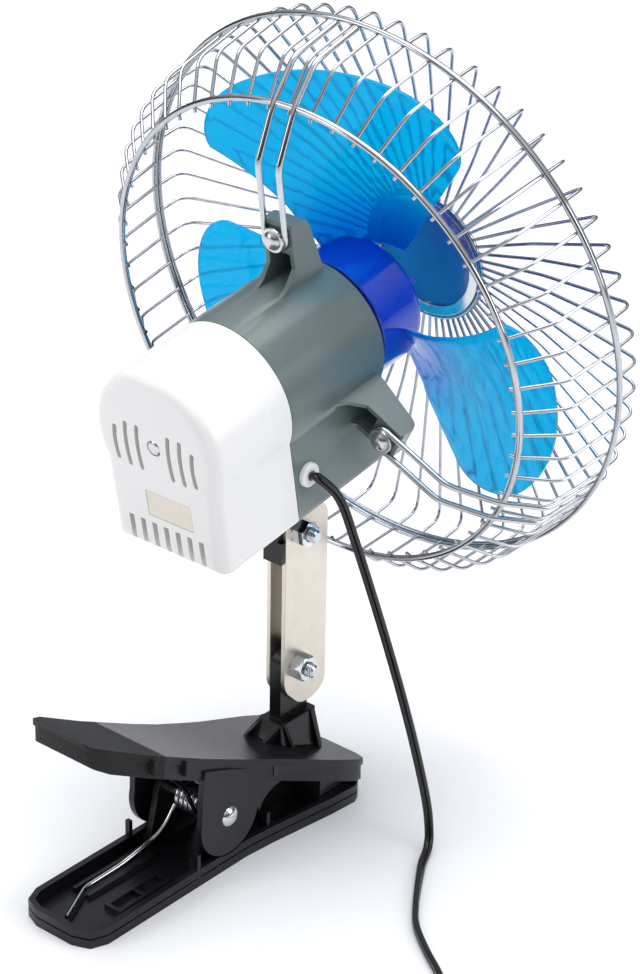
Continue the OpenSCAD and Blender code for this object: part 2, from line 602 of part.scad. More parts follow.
// fan: one moulding with hub and blades. Angles run from the top towards +x.
function edge_left(r) = r < 74 ? 26 + (r - 24) * 0.38 : 45 - 17 * (1 - sqrt(max(0, 1 - pow((r - 74) / 14, 2))));
function edge_right(r) = r < 70 ? -35 : -35 + 22 * (1 - sqrt(max(0, 1 - pow((r - 70) / 18, 2))));
function blade_s(r, t) = -8.5 - (t - 4) * (r < 40 ? 0.29 : 0.27) + 1.6 * cos((t - 4) * 2.2);
blade_rs = [hub_r - 1.5, 34, 45, 56, 66, 74, 79, 83, 86, 88];
blade_k = blade_r / 88;
blade_n = 10;
function blade_pt(r, j, o) = let (k = j / blade_n, t = edge_left(r) + (edge_right(r) - edge_left(r)) * k)
  [r * blade_k * sin(t), -blade_s(r, t) + o, r * blade_k * cos(t)];
module blade() {
  nr = len(blade_rs);
  m = blade_n + 1;
  pts = concat(
    [for (r = blade_rs) for (j = [0:blade_n]) blade_pt(r, j, -0.8)],
    [for (r = blade_rs) for (j = [0:blade_n]) blade_pt(r, j, 0.8)]);
  n0 = nr * m;
  faces = concat(
    flat([for (i = [0:nr - 2]) for (j = [0:blade_n - 1]) [
      [i * m + j, (i + 1) * m + j + 1, (i + 1) * m + j], [i * m + j, i * m + j + 1, (i + 1) * m + j + 1],
      [n0 + i * m + j, n0 + (i + 1) * m + j, n0 + (i + 1) * m + j + 1],
      [n0 + i * m + j, n0 + (i + 1) * m + j + 1, n0 + i * m + j + 1]]]),
    flat([for (i = [0:nr - 2]) [
      [i * m, n0 + (i + 1) * m, n0 + i * m], [i * m, (i + 1) * m, n0 + (i + 1) * m],
      [i * m + m - 1, n0 + (i + 1) * m + m - 1, (i + 1) * m + m - 1],
      [i * m + m - 1, n0 + i * m + m - 1, n0 + (i + 1) * m + m - 1]]]),
    flat([for (j = [0:blade_n - 1]) [
      [j, n0 + j + 1, j + 1], [j, n0 + j, n0 + j + 1],
      [(nr - 1) * m + j, (nr - 1) * m + j + 1, n0 + (nr - 1) * m + j + 1],
      [(nr - 1) * m + j, n0 + (nr - 1) * m + j + 1, n0 + (nr - 1) * m + j]]]));
  polyhedron(points = pts, faces = faces, convexity = 6);
}
module fan_rotor() color("#1d8ff0") head() difference() {
  union() {
    for (i = [0:blades - 1]) rotate([0, i * 360 / blades, 0]) blade();
    rotate([-90, 0, 0]) rotate_extrude($fn = 72)
      polygon([[hub_r - 1.8, 25], [hub_r, 25], [hub_r, 7], [hub_r - 1.2, 3.6], [hub_r - 5, 0.8], [12, -0.6], [3, -0.6], [3, 1.4],
        [12, 1.4], [hub_r - 5.6, 2.8], [hub_r - 2.6, 5.4], [hub_r - 1.8, 8]]);
    rod_y(4.6, -0.4, 18);
    for (i = [0:5]) rotate([0, i * 60, 0]) translate([-0.7, 1, 4]) cube([1.4, 12, hub_r - 5.2]);
  }
  // shaft bore
  rod_y(shaft_r, -6, 20);
}
module spinner_cap() color("#1c3fc4") head() difference() {
  rotate([-90, 0, 0]) rotate_extrude() polygon([[0, -6], [3.4, -5.6], [5.8, -4], [6.6, -0.6], [0, -0.6]]);
  rod_y(shaft_r, -3.5, 1);
}

// guards, drawn in the head's axes. A wire path is given as radius and distance behind the main ring.
module wire(path, d, n, t) tube([for (p = path) [t, p[1], p[0]]], d / 2, n, [1, 0, 0]);
module ring(r, s, d) translate([0, s, 0]) rotate([-90, 0, 0]) rotate_extrude($fn = 96) translate([r, 0]) circle(r = d / 2, $fn = 8);
ring_c_d = 2.2;
ring_b_d = 2.4;
// rear guard: the main ring, the rear ring and the bent wires welded to both
module main_ring() color("#d5d8dc") head() ring(ring_c, 0, ring_c_d);
module rear_ring() color("#d5d8dc") head() ring(ring_b, ring_b_s, ring_b_d);
rear_path = [[ring_b - 2.6, ring_b_s + 0.6], [ring_b, ring_b_s - 0.7], [knee_r, knee_s], [ring_c - 1, 0.4]];
module rear_wires() color("#d5d8dc") head() for (i = [0:wires - 1]) rotate([0, 5 + i * 360 / wires, 0])
  wire(rear_path, wire_d, 5, 0);
// front guard: its rim, the ring round the badge and the wires between them
front_path = [[ring_c - 1.1, -1.6], [ring_c - 1.1, -9.6], [ring_c - 2, -11.8], [ring_c - 4.4, -13.5],
  [ring_c - 49, -24.4], [badge_rim + 1.2, -28.6]];
module front_rim() color("#d5d8dc") head() ring(ring_c - 0.85, -1.67, 1.6);
module front_hub_ring() color("#d5d8dc") head() ring(badge_rim + 0.9, -28.6, 2);
module front_wires() color("#d5d8dc") head() for (i = [0:wires - 1]) rotate([0, 5 + i * 360 / wires, 0])
  wire(front_path, wire_d, 5, 0);
strut_bend = 72.5;
strut_path = [[46.5, 47.2], [strut_bend, 46.4], [ring_b - 0.6, ring_b_s + 1.6], [knee_r - 0.6, knee_s], [ring_c - 1.4, 0.8]];
// a hairpin of wire held by the lug screw, its two legs welded along the guard
module strut() {
  leg_t = 4.5;
  route = concat(
    [for (i = [4:-1:1]) [leg_t, strut_path[i][1], strut_path[i][0]]],
    [[leg_t, 47.1, 46.5]],
    [for (a = [0:30:180]) [leg_t * cos(a), 47.1, 45 - leg_t * sin(a) + 0.5]],
    [[-leg_t, 47.1, 46.5]],
    [for (i = [1:4]) [-leg_t, strut_path[i][1], strut_path[i][0]]]);
  tube(route, strut_d / 2, 8, [0.02, 1, 0.35]);
}
module guard_struts() color("#dfe1e4") head() for (a = [0, 120, 240]) rotate([0, a, 0]) strut();
module guard_screws() color("#d3d5d8") head() for (a = [0, 120, 240]) rotate([0, a, 0]) translate([0, 0, 45]) difference() {
  union() {
    rod_y(4.6, 48.2, 49);
    rod_y(3.4, 48.9, 50.8);
    rod_y(1.3, 38, 48.3);
  }
  for (b = [0, 90]) rotate([0, b + 30, 0]) translate([-2, 50, -0.4]) cube([4, 2, 0.8]);
}
module badge_disc() color("#2a7fb5") head() {
  rod_y(badge_rim - 3.9, -30.2, -28.4);
}
module badge_ring() color("#d8dade") head() rotate([-90, 0, 0]) rotate_extrude($fn = 72)
  polygon([[badge_rim - 3.9, -30.6], [badge_rim - 0.1, -29.4], [badge_rim, -27.4], [badge_rim - 3.9, -27.4]]);

// cord, all of it lying on the floor or hanging from the grommet
exit_pt = [-chin_hw - 2.05, head_y + grommet_s * cos(head_tilt) + grommet_u * sin(head_tilt),
  head_z - grommet_s * sin(head_tilt) + grommet_u * cos(head_tilt)];
coil_h = [-0.6, 0.8, 0];
coil_c = [-176.7, 28.5, 0];
// the tie runs under the coil, which lies on it
tie_t = 0.4;
coil_z = cord_d / 2 + tie_t + 0.1;
coil_join = coil_c + [coil_r * 0.8, coil_r * 0.6, coil_z];
lead_route = [exit_pt, exit_pt + [-cord_d, 0, 0], [-34, -37, 139], [-38, -42, 120], [-45, -50, 84], [-53, -55, 50],
  [-59, -58.5, 20], [-62, -57.6, 7], [-64.4, -54, 1.9], [-69, -45, 1.75], [-76.3, -33.7, 1.75], [-83, -24, 1.75], [-91, -14.3, 1.75],
  [-103, -5, 1.75], [-115, 3, 1.75], [-128, 14, 1.75], [-140, 27, 1.75], coil_join - 9 * coil_h, coil_join - 4 * coil_h];
lead_pts = smooth(lead_route, 3);
module cord_lead() color("#17171a") tube(lead_pts, cord_d / 2, 8, [0.77, 0.64, 0.05]);

coil_pitch = cord_d + 0.55;
coil_rise = cord_d + 0.7;
coil_half = (coil_turns - 0.5) / 2;
function coil_point(t) = let (
    down = min(t, coil_half), up = max(0, t - coil_half - 0.5),
    k = min(1, max(0, (t - coil_half) / 0.5)), r = coil_r - coil_pitch * (down - up) - 0.6 * sin(180 * k),
    a = 36.87 + 360 * t)
  [coil_c[0] + r * cos(a), coil_c[1] + r * sin(a), coil_z + coil_rise * (1 - cos(180 * k)) / 2];
coil_pts = concat([coil_join - 4 * coil_h], [for (i = [0:24 * coil_turns]) coil_point(i / 24)],
  [coil_point(coil_turns) + 4 * coil_h]);
module cord_coil() color("#17171a") tube(coil_pts, cord_d / 2, 6, [0.02, 0.03, 1]);
coil_gap = min([for (i = [1:24 * coil_turns - 11]) min([for (j = [i + 12:24 * coil_turns + 1]) norm(coil_pts[i] - coil_pts[j])])]) - cord_d;
echo(str("least gap of the cord coil to itself ", coil_gap));
coil_mid = coil_r - coil_pitch * coil_half / 2;
echo(str("width of the coil at the middle of its turns ", 2 * coil_mid));
coil_len = 2 * PI * coil_mid * coil_turns;
echo(str("length of the cord coil ", coil_len));

plug_len = 30;
plug_z = 10.6;
plug_at = coil_point(coil_turns) + plug_len * coil_h + [0, 0, plug_z - coil_point(coil_turns)[2]];
tail_from = coil_point(coil_turns) + 4 * coil_h;
tail_pts = smooth([tail_from, tail_from + 4 * coil_h, tail_from + 12 * coil_h + [0, 0, 1.8], plug_at - 8 * coil_h - [0, 0, 0.9],
  plug_at - 4 * coil_h, plug_at], 3);
module cord_tail() color("#17171a") tube(tail_pts, cord_d / 2, 8, [0.8, 0.6, 0.05]);
// loop of flat tie round all the turns
tie_in = coil_r - coil_pitch * coil_half - cord_d / 2 - 0.4;
tie_out = coil_r - coil_pitch * 0.4 + cord_d / 2 + 0.4;
tie_top = coil_z + coil_rise + cord_d / 2 + 0.35;
tie_w = 0.8;
module cord_tie() color("#202024") translate([coil_c[0], coil_c[1], 0]) rotate([0, 0, 200]) difference() {
  translate([tie_in - tie_w, -4, 0]) cube([tie_out - tie_in + 2 * tie_w, 8, tie_top + tie_w]);
  translate([tie_in, -5, tie_t]) cube([tie_out - tie_in, 10, tie_top - tie_t]);
}
module along_plug() translate(plug_at) rotate([0, 0, atan2(0.8, -0.6)]) rotate([0, 90, 0]) children();
module plug_relief() color("#1b1b1f") along_plug() difference() {
  union() {
    cylinder(r1 = 2.9, r2 = 4.2, h = 14);
    for (i = [0:3]) translate([0, 0, 2 + i * 3]) cylinder(r = 4.2, h = 1.4);
  }
  translate([0, 0, -1]) cylinder(r = cord_d / 2 + 0.1, h = 1.02);
}
module plug_body() color("#1b1b1f") along_plug() translate([0, 0, 14]) rotate_extrude()
  polygon([[0, 0], [7.4, 0], [9.4, 3], [10.4, 8], [10.4, 34], [9.2, 36], [0, 36]]);
module plug_nose() color("#26262b") along_plug() translate([0, 0, 50]) rotate_extrude()
  polygon([[0, 0], [8.4, 0], [8.4, 14], [5.6, 18], [0, 18]]);
module plug_tip() color("#c9ccd1") along_plug() translate([0, 0, 68]) rotate_extrude()
  polygon([[0, 0], [3.2, 0], [3.2, 3], [1.8, 5.4], [0, 5.8]]);
module plug_side_springs() color("#c9ccd1") along_plug() for (a = [90, 270]) rotate([0, 0, a]) translate([-1.6, 0, 0])
  rotate([90, 0, 90]) linear_extrude(3.2) polygon([[8.44, 52], [9.6, 54.5], [10, 57], [9.6, 60], [8.44, 62.5]]);

lower_jaw();
upper_jaw();
pivot_pin();
clamp_spring();
stand_post();
post_screw();
link_plate_near();
link_plate_far();
lower_bolt();
lower_nut();
upper_bolt();
upper_nut();
swivel_neck();
swivel_clip();
motor_housing();
rear_cover();
rear_cover_screw();
label_plate();
cable_grommet();
motor_can();
motor_end_cap();
motor_magnets();
motor_mount_screws();
armature();
motor_shaft();
worm();
worm_wheel();
gear_frame();
drive_link();
fan_rotor();
spinner_cap();
main_ring();
rear_ring();
rear_wires();
guard_struts();
guard_screws();
front_rim();
front_wires();
front_hub_ring();
badge_disc();
badge_ring();
cord_lead();
cord_coil();
cord_tail();
cord_tie();
plug_relief();
plug_body();
plug_nose();
plug_tip();
plug_side_springs();
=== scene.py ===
"""Clip-on 12 volt car fan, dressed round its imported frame.

Everything is in metres in the row frame: the origin is on the floor under the clamp pivot,
+Z is up, the fan blows towards -Y and the clamp handle points to +Y.
"""
import json
import math

import bmesh
import bpy
from mathutils import Matrix, Vector


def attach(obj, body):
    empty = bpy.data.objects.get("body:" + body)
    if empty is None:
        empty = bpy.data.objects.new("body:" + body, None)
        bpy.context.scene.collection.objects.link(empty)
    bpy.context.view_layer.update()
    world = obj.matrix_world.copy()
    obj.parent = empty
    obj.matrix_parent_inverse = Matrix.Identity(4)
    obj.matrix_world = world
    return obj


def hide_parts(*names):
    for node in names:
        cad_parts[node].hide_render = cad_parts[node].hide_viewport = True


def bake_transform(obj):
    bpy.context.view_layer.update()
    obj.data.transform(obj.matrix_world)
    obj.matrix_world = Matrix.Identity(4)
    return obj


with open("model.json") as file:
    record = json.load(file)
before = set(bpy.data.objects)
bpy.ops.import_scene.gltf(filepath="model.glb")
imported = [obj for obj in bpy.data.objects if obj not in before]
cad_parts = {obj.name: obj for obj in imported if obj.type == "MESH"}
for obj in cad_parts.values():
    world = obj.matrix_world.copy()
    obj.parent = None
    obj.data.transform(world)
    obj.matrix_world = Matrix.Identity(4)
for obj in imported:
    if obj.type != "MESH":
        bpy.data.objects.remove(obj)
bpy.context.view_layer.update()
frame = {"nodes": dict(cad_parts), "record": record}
scene = bpy.context.scene
MM = 0.001
BODIES = {n: b for b, ns in frame["record"]["behaviour"]["bodies"].items() for n in ns}

# Sizes of the frame that the dressing repeats, in millimetres and degrees.
# On the head, S is the way along the fan's axis to the rear, U is up across it, R is a radius about it.
PIVOT_Z = 21.5
SPRING_WIRE, SPRING_R, SPRING_TURNS = 1.8, 4.9, 5
BOLT_Y, BOLT_LOW_Z, BOLT_UP_Z, BOLT_R, BOLT_FIT = -51.3, 56, 111, 2.5, 0.06
PLATE_OUT, PLATE_T, PLATE_BACK, PLATE_FRONT = 4.4, 1.8, 7.5, 15.4
NUT_FLATS, NUT_H, NUT_TURN = 8.7, 5, {"lower": 12, "upper": 25}
HEAD_Y, HEAD_Z, HEAD_TILT = -95.7, 187.9, 10.14
BARREL_R, CHIN_HW, CHIN_D, SEAM, COVER_END, WALL = 27.7, 25.3, 45.2, 78, 116.5, 2
GROMMET_S, GROMMET_U, GROMMET_OUT = 71.7, -27.3, 2.05
RING_C, RING_B, RING_B_S, KNEE_R, KNEE_S = 105, 89.3, 34.7, 101.7, 23.2
WIRES, WIRE_D, WIRE_START, HUB_RING_R, HUB_RING_S = 60, 1.3, 5, 25.2, -28.6
STRUT_D, STRUT_HALF, EYE_S, LUG_U = 2.2, 4.5, 47.1, 45
HUB_R, BLADES, SHAFT_R = 24.5, 3, 1.6
CORD_D = 3.4
# the upper jaw's top under the stand post bends at one place: y, its height, and its slope to either side
JAW_BEND_Y, JAW_BEND_Z, JAW_RISE_BACK, JAW_RISE_FRONT = -55, 21.62, 9.4 / 22, 6.4 / 15

HEAD = Matrix.Translation((0, HEAD_Y * MM, HEAD_Z * MM)) @ Matrix.Rotation(math.radians(-HEAD_TILT), 4, "X")
UNTURNED = Matrix.Identity(4)


def jaw_top(y):
    """Height of the upper jaw's top under the stand post."""
    return JAW_BEND_Z + (y - JAW_BEND_Y) * (JAW_RISE_BACK if y > JAW_BEND_Y else JAW_RISE_FRONT)


# camera and light

CAMERA_AT, CAMERA_BACK, CAMERA_RIGHT = (-610.32, 664.62, 606.98), (-0.5705, 0.6840, 0.4546), (-0.7679, -0.6405, 0)
CAMERA_ROLL, LENS, SENSOR = 1.07, 110.89, 36


def set_camera():
    """Behind the fan, above it and to its cord side, where the photograph was taken."""
    back = Vector(CAMERA_BACK).normalized()
    right = Vector(CAMERA_RIGHT).normalized()
    up = back.cross(right)
    roll = math.radians(CAMERA_ROLL)
    right, up = right * math.cos(roll) + up * math.sin(roll), up * math.cos(roll) - right * math.sin(roll)
    data = bpy.data.cameras.new("camera")
    data.lens = LENS
    data.sensor_width = SENSOR
    data.clip_start = 0.05
    camera = bpy.data.objects.new("camera", data)
    turn = Matrix((right, up, back)).transposed().to_4x4()
    camera.matrix_world = Matrix.Translation(Vector(CAMERA_AT) * MM) @ turn
    scene.collection.objects.link(camera)
    scene.camera = camera


def add_light(name, place, target, size, power, colour="#FFFFFF"):
    """A square softbox at a place in millimetres, facing its target."""
    data = bpy.data.lights.new(name, "AREA")
    data.shape = "SQUARE"
    data.size = size
    data.energy = power
    data.color = hue(colour)[:3]
    lamp = bpy.data.objects.new(name, data)
    lamp.location = Vector(place) * MM
    lamp.rotation_mode = "QUATERNION"
    lamp.rotation_quaternion = (Vector(place) - Vector(target)).to_track_quat("Z", "Y")
    scene.collection.objects.link(lamp)


# finishes

def hue(code):
    """An sRGB hex colour as the linear values that a shader takes."""
    parts = [int(code[i:i + 2], 16) / 255 for i in (1, 3, 5)]
    return [c / 12.92 if c <= 0.04045 else ((c + 0.055) / 1.055) ** 2.4 for c in parts] + [1.0]


def add(tree, kind, inputs=None, **settings):
    """Adds one shader node with its settings, its values and the links that come into it."""
    node = tree.nodes.new("ShaderNode" + kind)
    for name, value in settings.items():
        setattr(node, name, value)
    for socket, value in (inputs or {}).items():
        if isinstance(value, bpy.types.NodeSocket):
            tree.links.new(value, node.inputs[socket])
        else:
            node.inputs[socket].default_value = value
    return node


def new_finish(name, **values):
    """An empty material with its shader, and the piece's own coordinates."""
    material = bpy.data.materials.new(name)
    material.use_nodes = True
    tree = material.node_tree
    tree.nodes.clear()
    shader = add(tree, "BsdfPrincipled", values)
    add(tree, "OutputMaterial", {"Surface": shader.outputs[0]})
    return material, tree, shader, add(tree, "TexCoord").outputs["Object"]


def ranged(tree, value, start, end, low, high, **settings):
    """A value between start and end, brought to between low and high, and held there outside them."""
    return add(tree, "MapRange", {"Value": value, 1: start, 2: end, 3: low, 4: high}, **settings).outputs[0]


def drift(tree, place, size, low, high, detail=3):
    """A slow change between two values, over patches of a size in millimetres."""
    patch = add(tree, "TexNoise", {"Vector": place, "Scale": 1 / (size * MM), "Detail": detail, "Roughness": 0.55})
    return ranged(tree, patch.outputs[0], 0.15, 0.85, low, high)


def tint(tree, factor, low, high):
    """A colour between two sRGB hex colours."""
    mix = add(tree, "Mix", {0: factor, 6: hue(low), 7: hue(high)}, data_type="RGBA")
    return mix.outputs[2]


def grain(tree, place, size, depth):
    """Fine relief, its size and depth in millimetres."""
    dots = add(tree, "TexNoise", {"Vector": place, "Scale": 1 / (size * MM), "Detail": 2})
    return add(tree, "Bump", {"Height": dots.outputs[0], "Distance": depth * MM, "Strength": 1.0}).outputs[0]


def moulded(name, face, shade, rough, size, depth, spread=0.06, patch=22, **values):
    """An injection moulded plastic: even colour that drifts a little with the melt, and a fine mould grain."""
    material, tree, shader, place = new_finish(name, **values)
    tree.links.new(tint(tree, drift(tree, place, patch, 0, 1), face, shade), shader.inputs["Base Color"])
    tree.links.new(drift(tree, place, patch * 0.4, rough - spread, rough + spread), shader.inputs["Roughness"])
    tree.links.new(grain(tree, place, size, depth), shader.inputs["Normal"])
    return material


def plated(name, face, shade, rough, spread=0.05, patch=6, size=0.5, depth=0.003, stretch=(1, 1, 1)):
    """A metal: slight colour change over the plating, and polishing marks that stretch along one direction."""
    material, tree, shader, place = new_finish(name, Metallic=1.0)
    lay = add(tree, "Mapping", {"Vector": place, "Scale": stretch}).outputs[0]
    tree.links.new(tint(tree, drift(tree, place, patch, 0, 1), face, shade), shader.inputs["Base Color"])
    tree.links.new(drift(tree, lay, patch * 0.3, rough - spread, rough + spread), shader.inputs["Roughness"])
    tree.links.new(grain(tree, lay, size, depth), shader.inputs["Normal"])
    return material


# where the grip texture fades in on the upper jaw's handle, in millimetres: its front line, and its height
GRIP_Y, GRIP_Z, LEATHER, LEATHER_DEPTH = (31.8, 32.6), (30, 34), 0.9, 0.22


def clamp_finish():
    """Black talc-filled polypropylene. The squeezing end of the upper jaw has a leathery grip texture,
    the rest a satin mould face with faint rub marks across it."""
    material, tree, shader, place = new_finish("clamp_polypropylene_satin", IOR=1.49, **{"Specular IOR Level": 0.34})
    spot = add(tree, "SeparateXYZ", {"Vector": place})
    behind, above = (ranged(tree, spot.outputs[axis], low * MM, high * MM, 0.0, 1.0)
                     for axis, (low, high) in (("Y", GRIP_Y), ("Z", GRIP_Z)))
    held = add(tree, "Math", {0: behind, 1: above}, operation="MULTIPLY").outputs[0]
    rubs = add(tree, "Mapping", {"Vector": place, "Scale": (1.0, 7.0, 7.0)}).outputs[0]
    rub = drift(tree, rubs, 16, 0, 1, detail=5)
    base = tint(tree, rub, "#141418", "#1A1A1F")
    dark = add(tree, "Mix", {0: held, 6: base, 7: hue("#0E0E10")}, data_type="RGBA").outputs[2]
    tree.links.new(dark, shader.inputs["Base Color"])
    smooth = drift(tree, rubs, 9, 0.27, 0.37)
    rough = add(tree, "Mix", {0: held, 2: smooth, 3: 0.62}).outputs[0]
    tree.links.new(rough, shader.inputs["Roughness"])
    fine = grain(tree, place, 0.35, 0.012)
    hide = add(tree, "TexVoronoi", {"Vector": place, "Scale": 1 / (LEATHER * MM), "Randomness": 1.0})
    depth = add(tree, "Math", {0: held, 1: hide.outputs["Distance"]}, operation="MULTIPLY").outputs[0]
    leather = add(tree, "Bump", {"Height": depth, "Distance": LEATHER_DEPTH * MM, "Strength": 0.9, "Normal": fine})
    tree.links.new(leather.outputs[0], shader.inputs["Normal"])
    return material


# the blades' deep colour fades out between these radii
DEEP_R = (26, 55)


def blade_finish():
    """Clear blue polypropylene: light comes through it, the wires behind show softly, and it is deeper near the hub."""
    material, tree, shader, place = new_finish(
        "fan_polypropylene_clear_blue", IOR=1.2, **{"Transmission Weight": 0.55, "Specular IOR Level": 0.6})
    centre = Vector((0, HEAD_Y * MM, HEAD_Z * MM))
    out = add(tree, "VectorMath", {0: place, 1: centre}, operation="SUBTRACT").outputs[0]
    far = add(tree, "VectorMath", {0: out}, operation="LENGTH").outputs["Value"]
    deep = ranged(tree, far, DEEP_R[0] * MM, DEEP_R[1] * MM, 1.0, 0.0, interpolation_type="SMOOTHSTEP")
    melt = tint(tree, drift(tree, place, 30, 0, 1), "#00C6FF", "#08CEFF")
    colour = add(tree, "Mix", {0: deep, 6: melt, 7: hue("#0484EE")}, data_type="RGBA").outputs[2]
    tree.links.new(colour, shader.inputs["Base Color"])
    tree.links.new(drift(tree, place, 12, 0.05, 0.11), shader.inputs["Roughness"])
    wave = add(tree, "TexWave", {"Vector": place, "Scale": 60, "Distortion": 9, "Detail": 2})
    flow = add(tree, "Bump", {"Height": wave.outputs[1], "Distance": 0.00006, "Strength": 0.5}).outputs[0]
    tree.links.new(flow, shader.inputs["Normal"])
    return material


FINISH = {
    "clamp": clamp_finish(),
    # the same black plastic, moulded in a polished tool: sharper highlights
    "post": moulded("post_polypropylene_glossy", "#0E0E10", "#131316", 0.28, 0.4, 0.008, IOR=1.49,
                    **{"Specular IOR Level": 0.34}),
    # grey-green ABS with a semi-gloss face, slight streaks of the melt
    "housing": moulded("housing_abs_grey_green", "#5F6D6D", "#657371", 0.24, 0.5, 0.004, spread=0.03, patch=30,
                       IOR=1.54),
    # white ABS, glossy
    "cover": moulded("cover_abs_white", "#F0EFEE", "#EDECEA", 0.26, 0.6, 0.003, spread=0.02, patch=60, IOR=1.54),
    # bare paper label: matt, faintly fibrous
    "label": moulded("label_paper_cream", "#EFE8DC", "#E9E0D2", 0.75, 0.25, 0.01, patch=5, IOR=1.45),
    "grommet": moulded("grommet_nylon_white", "#F2F3F3", "#E8EAEC", 0.32, 0.4, 0.006, patch=4, IOR=1.53),
    "blade": blade_finish(),
    # the hub is the same moulding, thick, so it looks deep and dark
    "hub": moulded("hub_polypropylene_deep_blue", "#0B45D6", "#0839BE", 0.14, 0.8, 0.004, patch=14, IOR=1.49,
                   **{"Coat Weight": 0.3, "Coat Roughness": 0.08, "Transmission Weight": 0.08}),
    "spinner": moulded("spinner_polystyrene_blue", "#1B3FC9", "#1533B5", 0.18, 0.6, 0.004, patch=8, IOR=1.59),
    # nickel plated steel strip, brushed upright
    "plate": plated("link_steel_nickel_brushed", "#DCD6CB", "#D3CCBF", 0.36, size=0.12, depth=0.004,
                    stretch=(1, 1, 0.04)),
    # zinc plated fasteners with a blue passivation
    "nut": plated("nut_steel_blue_zinc", "#E2E5E8", "#C6CFD8", 0.16, patch=3, size=0.3),
    "bolt": plated("bolt_steel_zinc", "#D5D7DA", "#C3C7CC", 0.22, patch=3, size=0.3),
    "screw": plated("screw_steel_nickel", "#D4D4D4", "#BFC1C4", 0.22, patch=2, size=0.25),
    # chrome plated wire: near mirror, small unevenness of the drawn wire under it
    "wire": plated("guard_wire_chrome", "#C2C4C8", "#ADB0B5", 0.1, spread=0.04, patch=5, size=0.8, depth=0.004),
    "strut": plated("strut_wire_chrome", "#CBCDD0", "#B9BCC0", 0.08, spread=0.03, patch=6, size=1, depth=0.004),
    # bright spring steel, hard drawn
    "spring": plated("spring_wire_bright", "#D2D4D6", "#BFC2C5", 0.18, patch=3, size=0.4),
    "rivet": plated("rivet_steel_nickel", "#DADBDD", "#C6C8CB", 0.17, patch=2, size=0.35, depth=0.004),
    "steel": plated("inner_steel_zinc", "#B9BCC0", "#A6AAAF", 0.34, patch=8, size=0.4),
    "copper": plated("winding_copper_enamelled", "#A5552A", "#8C4522", 0.3, patch=3, size=0.4, depth=0.02),
    "magnet": moulded("magnet_ferrite", "#3A3A3E", "#333337", 0.7, 0.3, 0.01, patch=4, IOR=1.6),
    "gear": moulded("gear_acetal_natural", "#ECE7D9", "#E3DDCC", 0.4, 0.4, 0.004, patch=6, IOR=1.48),
    "badge": moulded("badge_lacquer_blue", "#2B86BE", "#2277AE", 0.14, 0.6, 0.003, patch=10, IOR=1.52,
                     **{"Coat Weight": 0.6, "Coat Roughness": 0.05}),
    "trim": plated("badge_trim_chromed_plastic", "#D6D8DA", "#C9CCCF", 0.09, spread=0.03, patch=8, size=1,
                   depth=0.002),
    # soft black PVC, the twin cord's two cores side by side
    "cord": moulded("cord_pvc_black", "#101012", "#131315", 0.3, 0.8, 0.003, spread=0.03, patch=40, IOR=1.5),
    "plug": moulded("plug_phenolic_black", "#1B1B1E", "#202023", 0.34, 0.4, 0.008, patch=8, IOR=1.58),
    "tie": moulded("tie_pvc_black", "#202023", "#28282B", 0.5, 0.3, 0.02, patch=3, IOR=1.53),
}


# making pieces

def shown(name, bm, finish, body, nodes=(), place=None, edge=0.0, rounds=2, keen=32, smooth=40):
    """Turns a bmesh into a piece. Where place is given the bmesh is in millimetres in that frame.
    Its sharp edges are broken by so many millimetres, as a mould or a tool leaves them."""
    if place is not None:
        bmesh.ops.transform(bm, matrix=place @ Matrix.Scale(MM, 4), verts=bm.verts)
    mesh = bpy.data.meshes.new(name)
    bm.to_mesh(mesh)
    bm.free()
    piece = bpy.data.objects.new(name, mesh)
    scene.collection.objects.link(piece)
    mesh.materials.append(FINISH[finish])
    mesh.polygons.foreach_set("use_smooth", [True] * len(mesh.polygons))
    mesh.set_sharp_from_angle(angle=math.radians(smooth))
    if edge:
        broken = piece.modifiers.new("edges", "BEVEL")
        broken.width = edge * MM
        broken.segments = rounds
        broken.limit_method = "ANGLE"
        broken.angle_limit = math.radians(keen)
        broken.use_clamp_overlap = True
        broken.harden_normals = True
    if body:
        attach(piece, body)
    if nodes:
        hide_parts(*nodes)
    return piece


def dress(node, finish, edge=0.3, rounds=2):
    """The node's own shape, merged, with its edges broken."""
    bm = bmesh.new()
    bm.from_mesh(frame["nodes"][node].data)
    bmesh.ops.remove_doubles(bm, verts=bm.verts, dist=2e-6)
    bmesh.ops.dissolve_limit(bm, angle_limit=math.radians(0.6), verts=bm.verts, edges=bm.edges)
    return shown(node + "_dressed", bm, finish, BODIES[node], [node], None, edge, rounds)


def keep(node, finish):
    """The CAD node stays as it is, with its finish."""
    mesh = frame["nodes"][node].data
    mesh.materials.clear()
    mesh.materials.append(FINISH[finish])


def corner_bend(before, here, after, radius, steps):
    """The points of a smooth bend that takes a corner's place, at most about half of either side long."""
    a, b = before - here, after - here
    reach = min(radius, a.length * 0.48, b.length * 0.48)
    a, b = here + a.normalized() * reach, here + b.normalized() * reach
    return [a * (1 - t) ** 2 + here * 2 * t * (1 - t) + b * t * t for t in (i / steps for i in range(steps + 1))]


def bent(points, radius, steps=4):
    """The points of a bent wire: each corner becomes a smooth bend of about that radius."""
    points = [Vector(p) for p in points]
    line = [points[0]]
    for before, here, after in zip(points, points[1:], points[2:]):
        line += corner_bend(before, here, after, radius, steps)
    return line + [points[-1]]


def eased(points, steps):
    """A smooth curve through chosen points, so many steps a stretch."""
    points = [Vector(p) for p in points]
    line = []
    for i in range(len(points) - 1):
        a, b, c, d = points[max(0, i - 1)], points[i], points[i + 1], points[min(len(points) - 1, i + 2)]
        for k in range(steps):
            t = k / steps
            line.append(0.5 * (2 * b + (c - a) * t + (2 * a - 5 * b + 4 * c - d) * t ** 2
                               + (3 * b - a - 3 * c + d) * t ** 3))
    return line + [points[-1]]


def round_section(radius, count=10):
    """The points of a circle."""
    return [(radius * math.cos(math.tau * k / count), radius * math.sin(math.tau * k / count)) for k in range(count)]


